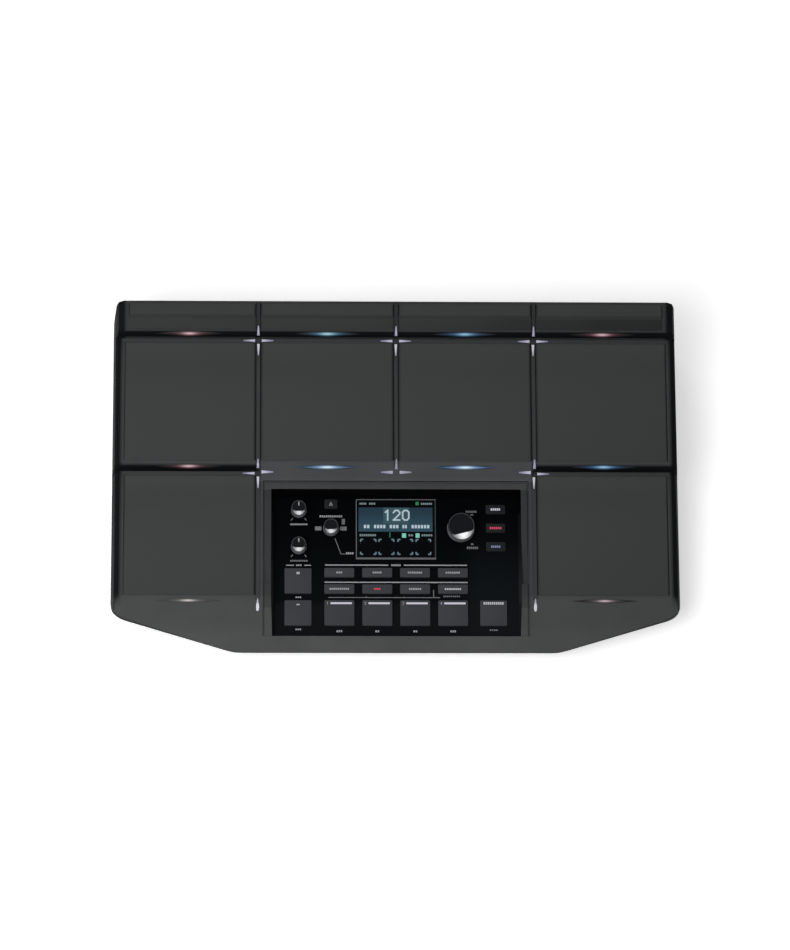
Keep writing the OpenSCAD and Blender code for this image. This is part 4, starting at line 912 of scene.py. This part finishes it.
SMALL = {"radius": 6.2, "turn": 0, "start": 0.4, "drop": 2.9, "flutes": 18}
LARGE = {"radius": 10.7, "turn": 14, "start": 0.46, "drop": 2.7, "flutes": 30}
PHONES_AT, MAIN_AT = (LEVEL_X, DISPLAY_Y + LEVEL_RISE), (LEVEL_X, DISPLAY_Y - LEVEL_RISE)
knob("phones_level_dial", "phones_control", "phones_knob", PHONES_AT, bore=3.02, pointer=True, **SMALL)
knob("main_level_dial", "main_level_control", "main_level_knob", MAIN_AT, bore=3.02, pointer=True, **SMALL)
knob("metronome_dial", "metronome_knob", "metronome_knob", (-INNER_KNOB_X, DISPLAY_Y), bore=3.05, **SMALL)
knob("value_dial", "value_knob", "value_knob", (INNER_KNOB_X, DISPLAY_Y), bore=3.05, **LARGE)

# Rear wall, in millimetres of the shared frame: x, outwards from the wall, z
REAR_Y = 129.609
JACKS = [(22 * i - 77, 20.0) for i in range(8)]
DINS = [(-133.0, 22.0), (-108.3, 22.0)]
POWER = (170.05, 21.0)
HEX_BORE = 4.4  # rings of a nut that are wider than this are six-sided


def turned(bm, x, z, profile, count=48, index=0, sides=0):
    """A ring turned about an axis square to the rear wall. profile: radius, outwards."""
    loops = []
    for radius, out in profile:
        loop = []
        for k in range(count):
            angle = 2 * math.pi * (k + 0.5) / count
            r = radius
            if sides and radius > HEX_BORE:
                step = math.pi / sides
                r = radius / math.cos(angle % (2 * step) - step)
            place = Vector((x + r * math.cos(angle), REAR_Y + out, z + r * math.sin(angle)))
            loop.append(bm.verts.new(place / 1000))
        loops.append(loop)
    for a, b in zip(loops, loops[1:] + loops[:1]):
        for k in range(count):
            face = bm.faces.new((a[k], a[(k + 1) % count], b[(k + 1) % count], b[k]))
            face.material_index = index


NUT = [(4.0, 1.42), (6.0, 1.42), (6.0, 2.3), (5.7, 2.55), (4.25, 2.55), (4.0, 2.4)]
BUSHING = [(3.28, 1.42), (3.95, 1.42), (3.95, 2.9), (3.75, 3.1), (3.45, 3.1), (3.28, 2.95)]
DIN_RIM = [(6.95, 0.03), (8.6, 0.03), (8.6, 0.45), (8.3, 0.7), (7.2, 0.7), (6.95, 0.5)]
POWER_RIM = [(4.6, 0.03), (6.3, 0.03), (6.3, 0.5), (6.0, 0.8), (4.9, 0.8), (4.6, 0.55)]
bm = bmesh.new()
for x, z in JACKS:
    turned(bm, x, z, NUT, count=72, sides=6)
    turned(bm, x, z, BUSHING, index=1)
finish_piece("jack_nuts", bm, [PLATED, STEEL], "body", smooth=True)
bm = bmesh.new()
for x, z in DINS:
    turned(bm, x, z, DIN_RIM, count=64)
turned(bm, *POWER, POWER_RIM, count=64)
finish_piece("socket_rims", bm, [JACK], "body", smooth=True)


def wall_print(bm, x, z, width):
    """Printed blocks on the rear wall where the object would have a word."""
    count = max(1, round(width / 1.5))
    step = width / count
    top = z + 1.2
    for i in range(count):
        left = x - width / 2 + (i + BLOCK_START) * step
        right = x - width / 2 + (i + BLOCK_END) * step
        corners = ((left, z), (right, z), (right, top), (left, top))
        low, high = (
            [bm.verts.new(Vector((px, REAR_Y + out, pz)) / 1000) for px, pz in corners]
            for out in (0.01, 0.05)
        )
        solid(bm, low, high, 0)


bm = bmesh.new()
for k, (x, _) in enumerate(JACKS):
    wall_print(bm, x, 28.6, 6.0 if k % 2 else 8.0)
for (x, _), width in zip(DINS, (6.0, 4.5)):
    wall_print(bm, x, 32.0, width)
for x, width in ((-169.3, 7.5), (140.0, 6.0), (POWER[0], 8.0)):
    wall_print(bm, x, 28.6, width)
finish_piece("rear_print", bm, [PRINT_DIM], "body")

# Seals in the gap round each pad, lower beside the ribs between pads, where dark seals are painted shade in
# those gaps
GAP = 0.4
RAIL, PAD_DEPTH = 5.5, 92.5
OUTER_PAD_X, OUTER_BAR_X = 203.6, 200.5
HALF_RIB = 1.8  # from a rib's middle to a pad
CLEAR = 0.03  # between a seal and its neighbours
SEAL_INDEX, SHADE_INDEX = 0, 1


def pad_sides(column, outer_x):
    """Left and right side of a pad: x, and whether it is an outer one."""
    left = -outer_x if column == -1.5 else column * PITCH - PITCH / 2 + HALF_RIB
    right = outer_x if column == 1.5 else column * PITCH + PITCH / 2 - HALF_RIB
    return (left, column == -1.5), (right, column == 1.5)


def edge_seals(bm, left, right, y0, y1, z0, z1, thick0, thick1):
    """Seals along the front and the rear edge of a pad."""
    bar(bm, left, right, y0 + CLEAR, y0 + GAP - CLEAR, z0, SEAL_INDEX, thick0)
    bar(bm, left, right, y1 - GAP + CLEAR, y1 - CLEAR, z1, SEAL_INDEX, thick1)


bm = bmesh.new()
for rank_y, top, columns in ((0.0, 10.0, PAD_COLUMNS), (-ROW_PITCH, 0.0, (-1.5, 1.5))):
    for column in columns:
        (left, left_outer), (right, right_outer) = pad_sides(column, OUTER_PAD_X)
        y0, y1 = rank_y + RAIL, rank_y + RAIL + PAD_DEPTH
        edge_seals(bm, left, right, y0, y1, top - 0.6, top - 0.6, 0.56, 0.58)
        for x, outer in ((left - GAP / 2, left_outer), (right + GAP / 2, right_outer)):
            x0, x1 = x - GAP / 2 + CLEAR, x + GAP / 2 - CLEAR
            if outer:
                bar(bm, x0, x1, y0, y1, top - 0.6, SEAL_INDEX, 0.59)
            else:
                bar(bm, x0, x1, y0, y1, top - 1.4, SHADE_INDEX, 0.56)
for column in PAD_COLUMNS:
    (left, left_outer), (right, right_outer) = pad_sides(column, OUTER_BAR_X)
    edge_seals(bm, left, right, 105.2, 124.2, 18.4, 23.4, 0.56, 0.56)
    for x, outer in ((left - GAP / 2, left_outer), (right + GAP / 2, right_outer)):
        drop = 0.05 if outer else 0.9
        profile = [
            (105.3, 17.6), (105.3, 19 - drop), (112.6, 22.5 - drop),
            (115.2, 24 - drop), (124.1, 24 - drop), (124.1, 17.6),
        ]
        low, high = (
            [bm.verts.new(DECK @ Vector((x + offset, y, z))) for y, z in profile]
            for offset in (CLEAR - GAP / 2, GAP / 2 - CLEAR)
        )
        solid(bm, low, high, SEAL_INDEX if outer else SHADE_INDEX)
finish_piece("pad_seals", bm, [SEAL, SHADE_SEAL], "body")

# Floor and light


def seen_rays(tree):
    """1 for rays from the camera, off metal or through glass, and 0 for the light on the object."""
    rays = tree.nodes.new("ShaderNodeLightPath").outputs
    seen = rays["Is Camera Ray"]
    for kind in ("Is Glossy Ray", "Is Transmission Ray"):
        either = tree.nodes.new("ShaderNodeMath")
        either.operation = "MAXIMUM"
        tree.links.new(seen, either.inputs[0])
        tree.links.new(rays[kind], either.inputs[1])
        seen = either.outputs[0]
    return seen


bm = bmesh.new()
bmesh.ops.create_grid(bm, x_segments=1, y_segments=1, size=6)
mesh = bpy.data.meshes.new("floor")
bm.to_mesh(mesh)
bm.free()
floor = bpy.data.objects.new("floor", mesh)
bpy.context.scene.collection.objects.link(floor)
n = Nodes("floor")
n.set(
    Base_Color=(0.9, 0.9, 0.9),
    Roughness=0.9,
    Specular_IOR_Level=0.0,
    Emission_Color=(1, 1, 1),
    Emission_Strength=n.times(seen_rays(n.tree), 0.52),
)
mesh.materials.append(n.material)
floor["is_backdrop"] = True

world = bpy.data.worlds.new("studio")
bpy.context.scene.world = world
world.use_nodes = True
tree = world.node_tree
back = tree.nodes["Background"]
strength = tree.nodes.new("ShaderNodeMapRange")
strength.inputs["To Min"].default_value = 0.2
strength.inputs["To Max"].default_value = 1.0
tree.links.new(seen_rays(tree), strength.inputs["Value"])
tree.links.new(strength.outputs[0], back.inputs["Strength"])
back.inputs["Color"].default_value = (1, 1, 1, 1)


def lamp(name, at, target, width, height, power):
    """A lit rectangle, facing its target. Metres and watts."""
    data = bpy.data.lights.new(name, "AREA")
    data.shape = "RECTANGLE"
    data.size, data.size_y = width, height
    data.energy = power
    o = bpy.data.objects.new(name, data)
    bpy.context.scene.collection.objects.link(o)
    o.location = at
    o.rotation_mode = "QUATERNION"
    o.rotation_quaternion = (Vector(at) - Vector(target)).to_track_quat("Z", "Y")


lamp("key_box", (-0.34, -0.42, 1.0), (-0.05, -0.03, 0), 0.7, 0.7, 9.5)
lamp("rear_box", (-0.6, 2.0, 1.1), (0, 0, 0.05), 1.4, 0.6, 10.0)

# Camera, fitted to the photo: 15 degrees in front of the deck's normal, a little to the left, and
# turned and rolled a touch. Focal length and shift are in pixels of the photo's height
PHOTO_HEIGHT = 950
FOCAL, SHIFT_X, SHIFT_Y = 4303, -0.7, 0.2
SENSOR = 36  # millimetres
LEAN = math.radians(15)
YAW, ROLL = 0.0301, -0.0051
DISTANCE = 3223.0
AIM_X, AIM_Y = -94.0, -3.0
cam = bpy.data.cameras.new("camera")
camera = bpy.data.objects.new("camera", cam)
bpy.context.scene.collection.objects.link(camera)
bpy.context.scene.camera = camera
look = Matrix.Rotation(-YAW, 3, "Y") @ Matrix.Rotation(LEAN, 3, "X") @ Matrix.Rotation(ROLL, 3, "Z")
camera.location = DECK @ Vector((AIM_X, AIM_Y - DISTANCE * math.sin(LEAN), DISTANCE * math.cos(LEAN)))
camera.rotation_mode = "QUATERNION"
camera.rotation_quaternion = (DECK.to_3x3().normalized() @ look).to_quaternion()
cam.sensor_width = SENSOR
cam.lens = FOCAL / PHOTO_HEIGHT * SENSOR
cam.shift_x = SHIFT_X / PHOTO_HEIGHT
cam.shift_y = SHIFT_Y / PHOTO_HEIGHT
cam.clip_start, cam.clip_end = 0.1, 50

bpy.context.scene.view_settings.view_transform = "Standard"

low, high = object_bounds()
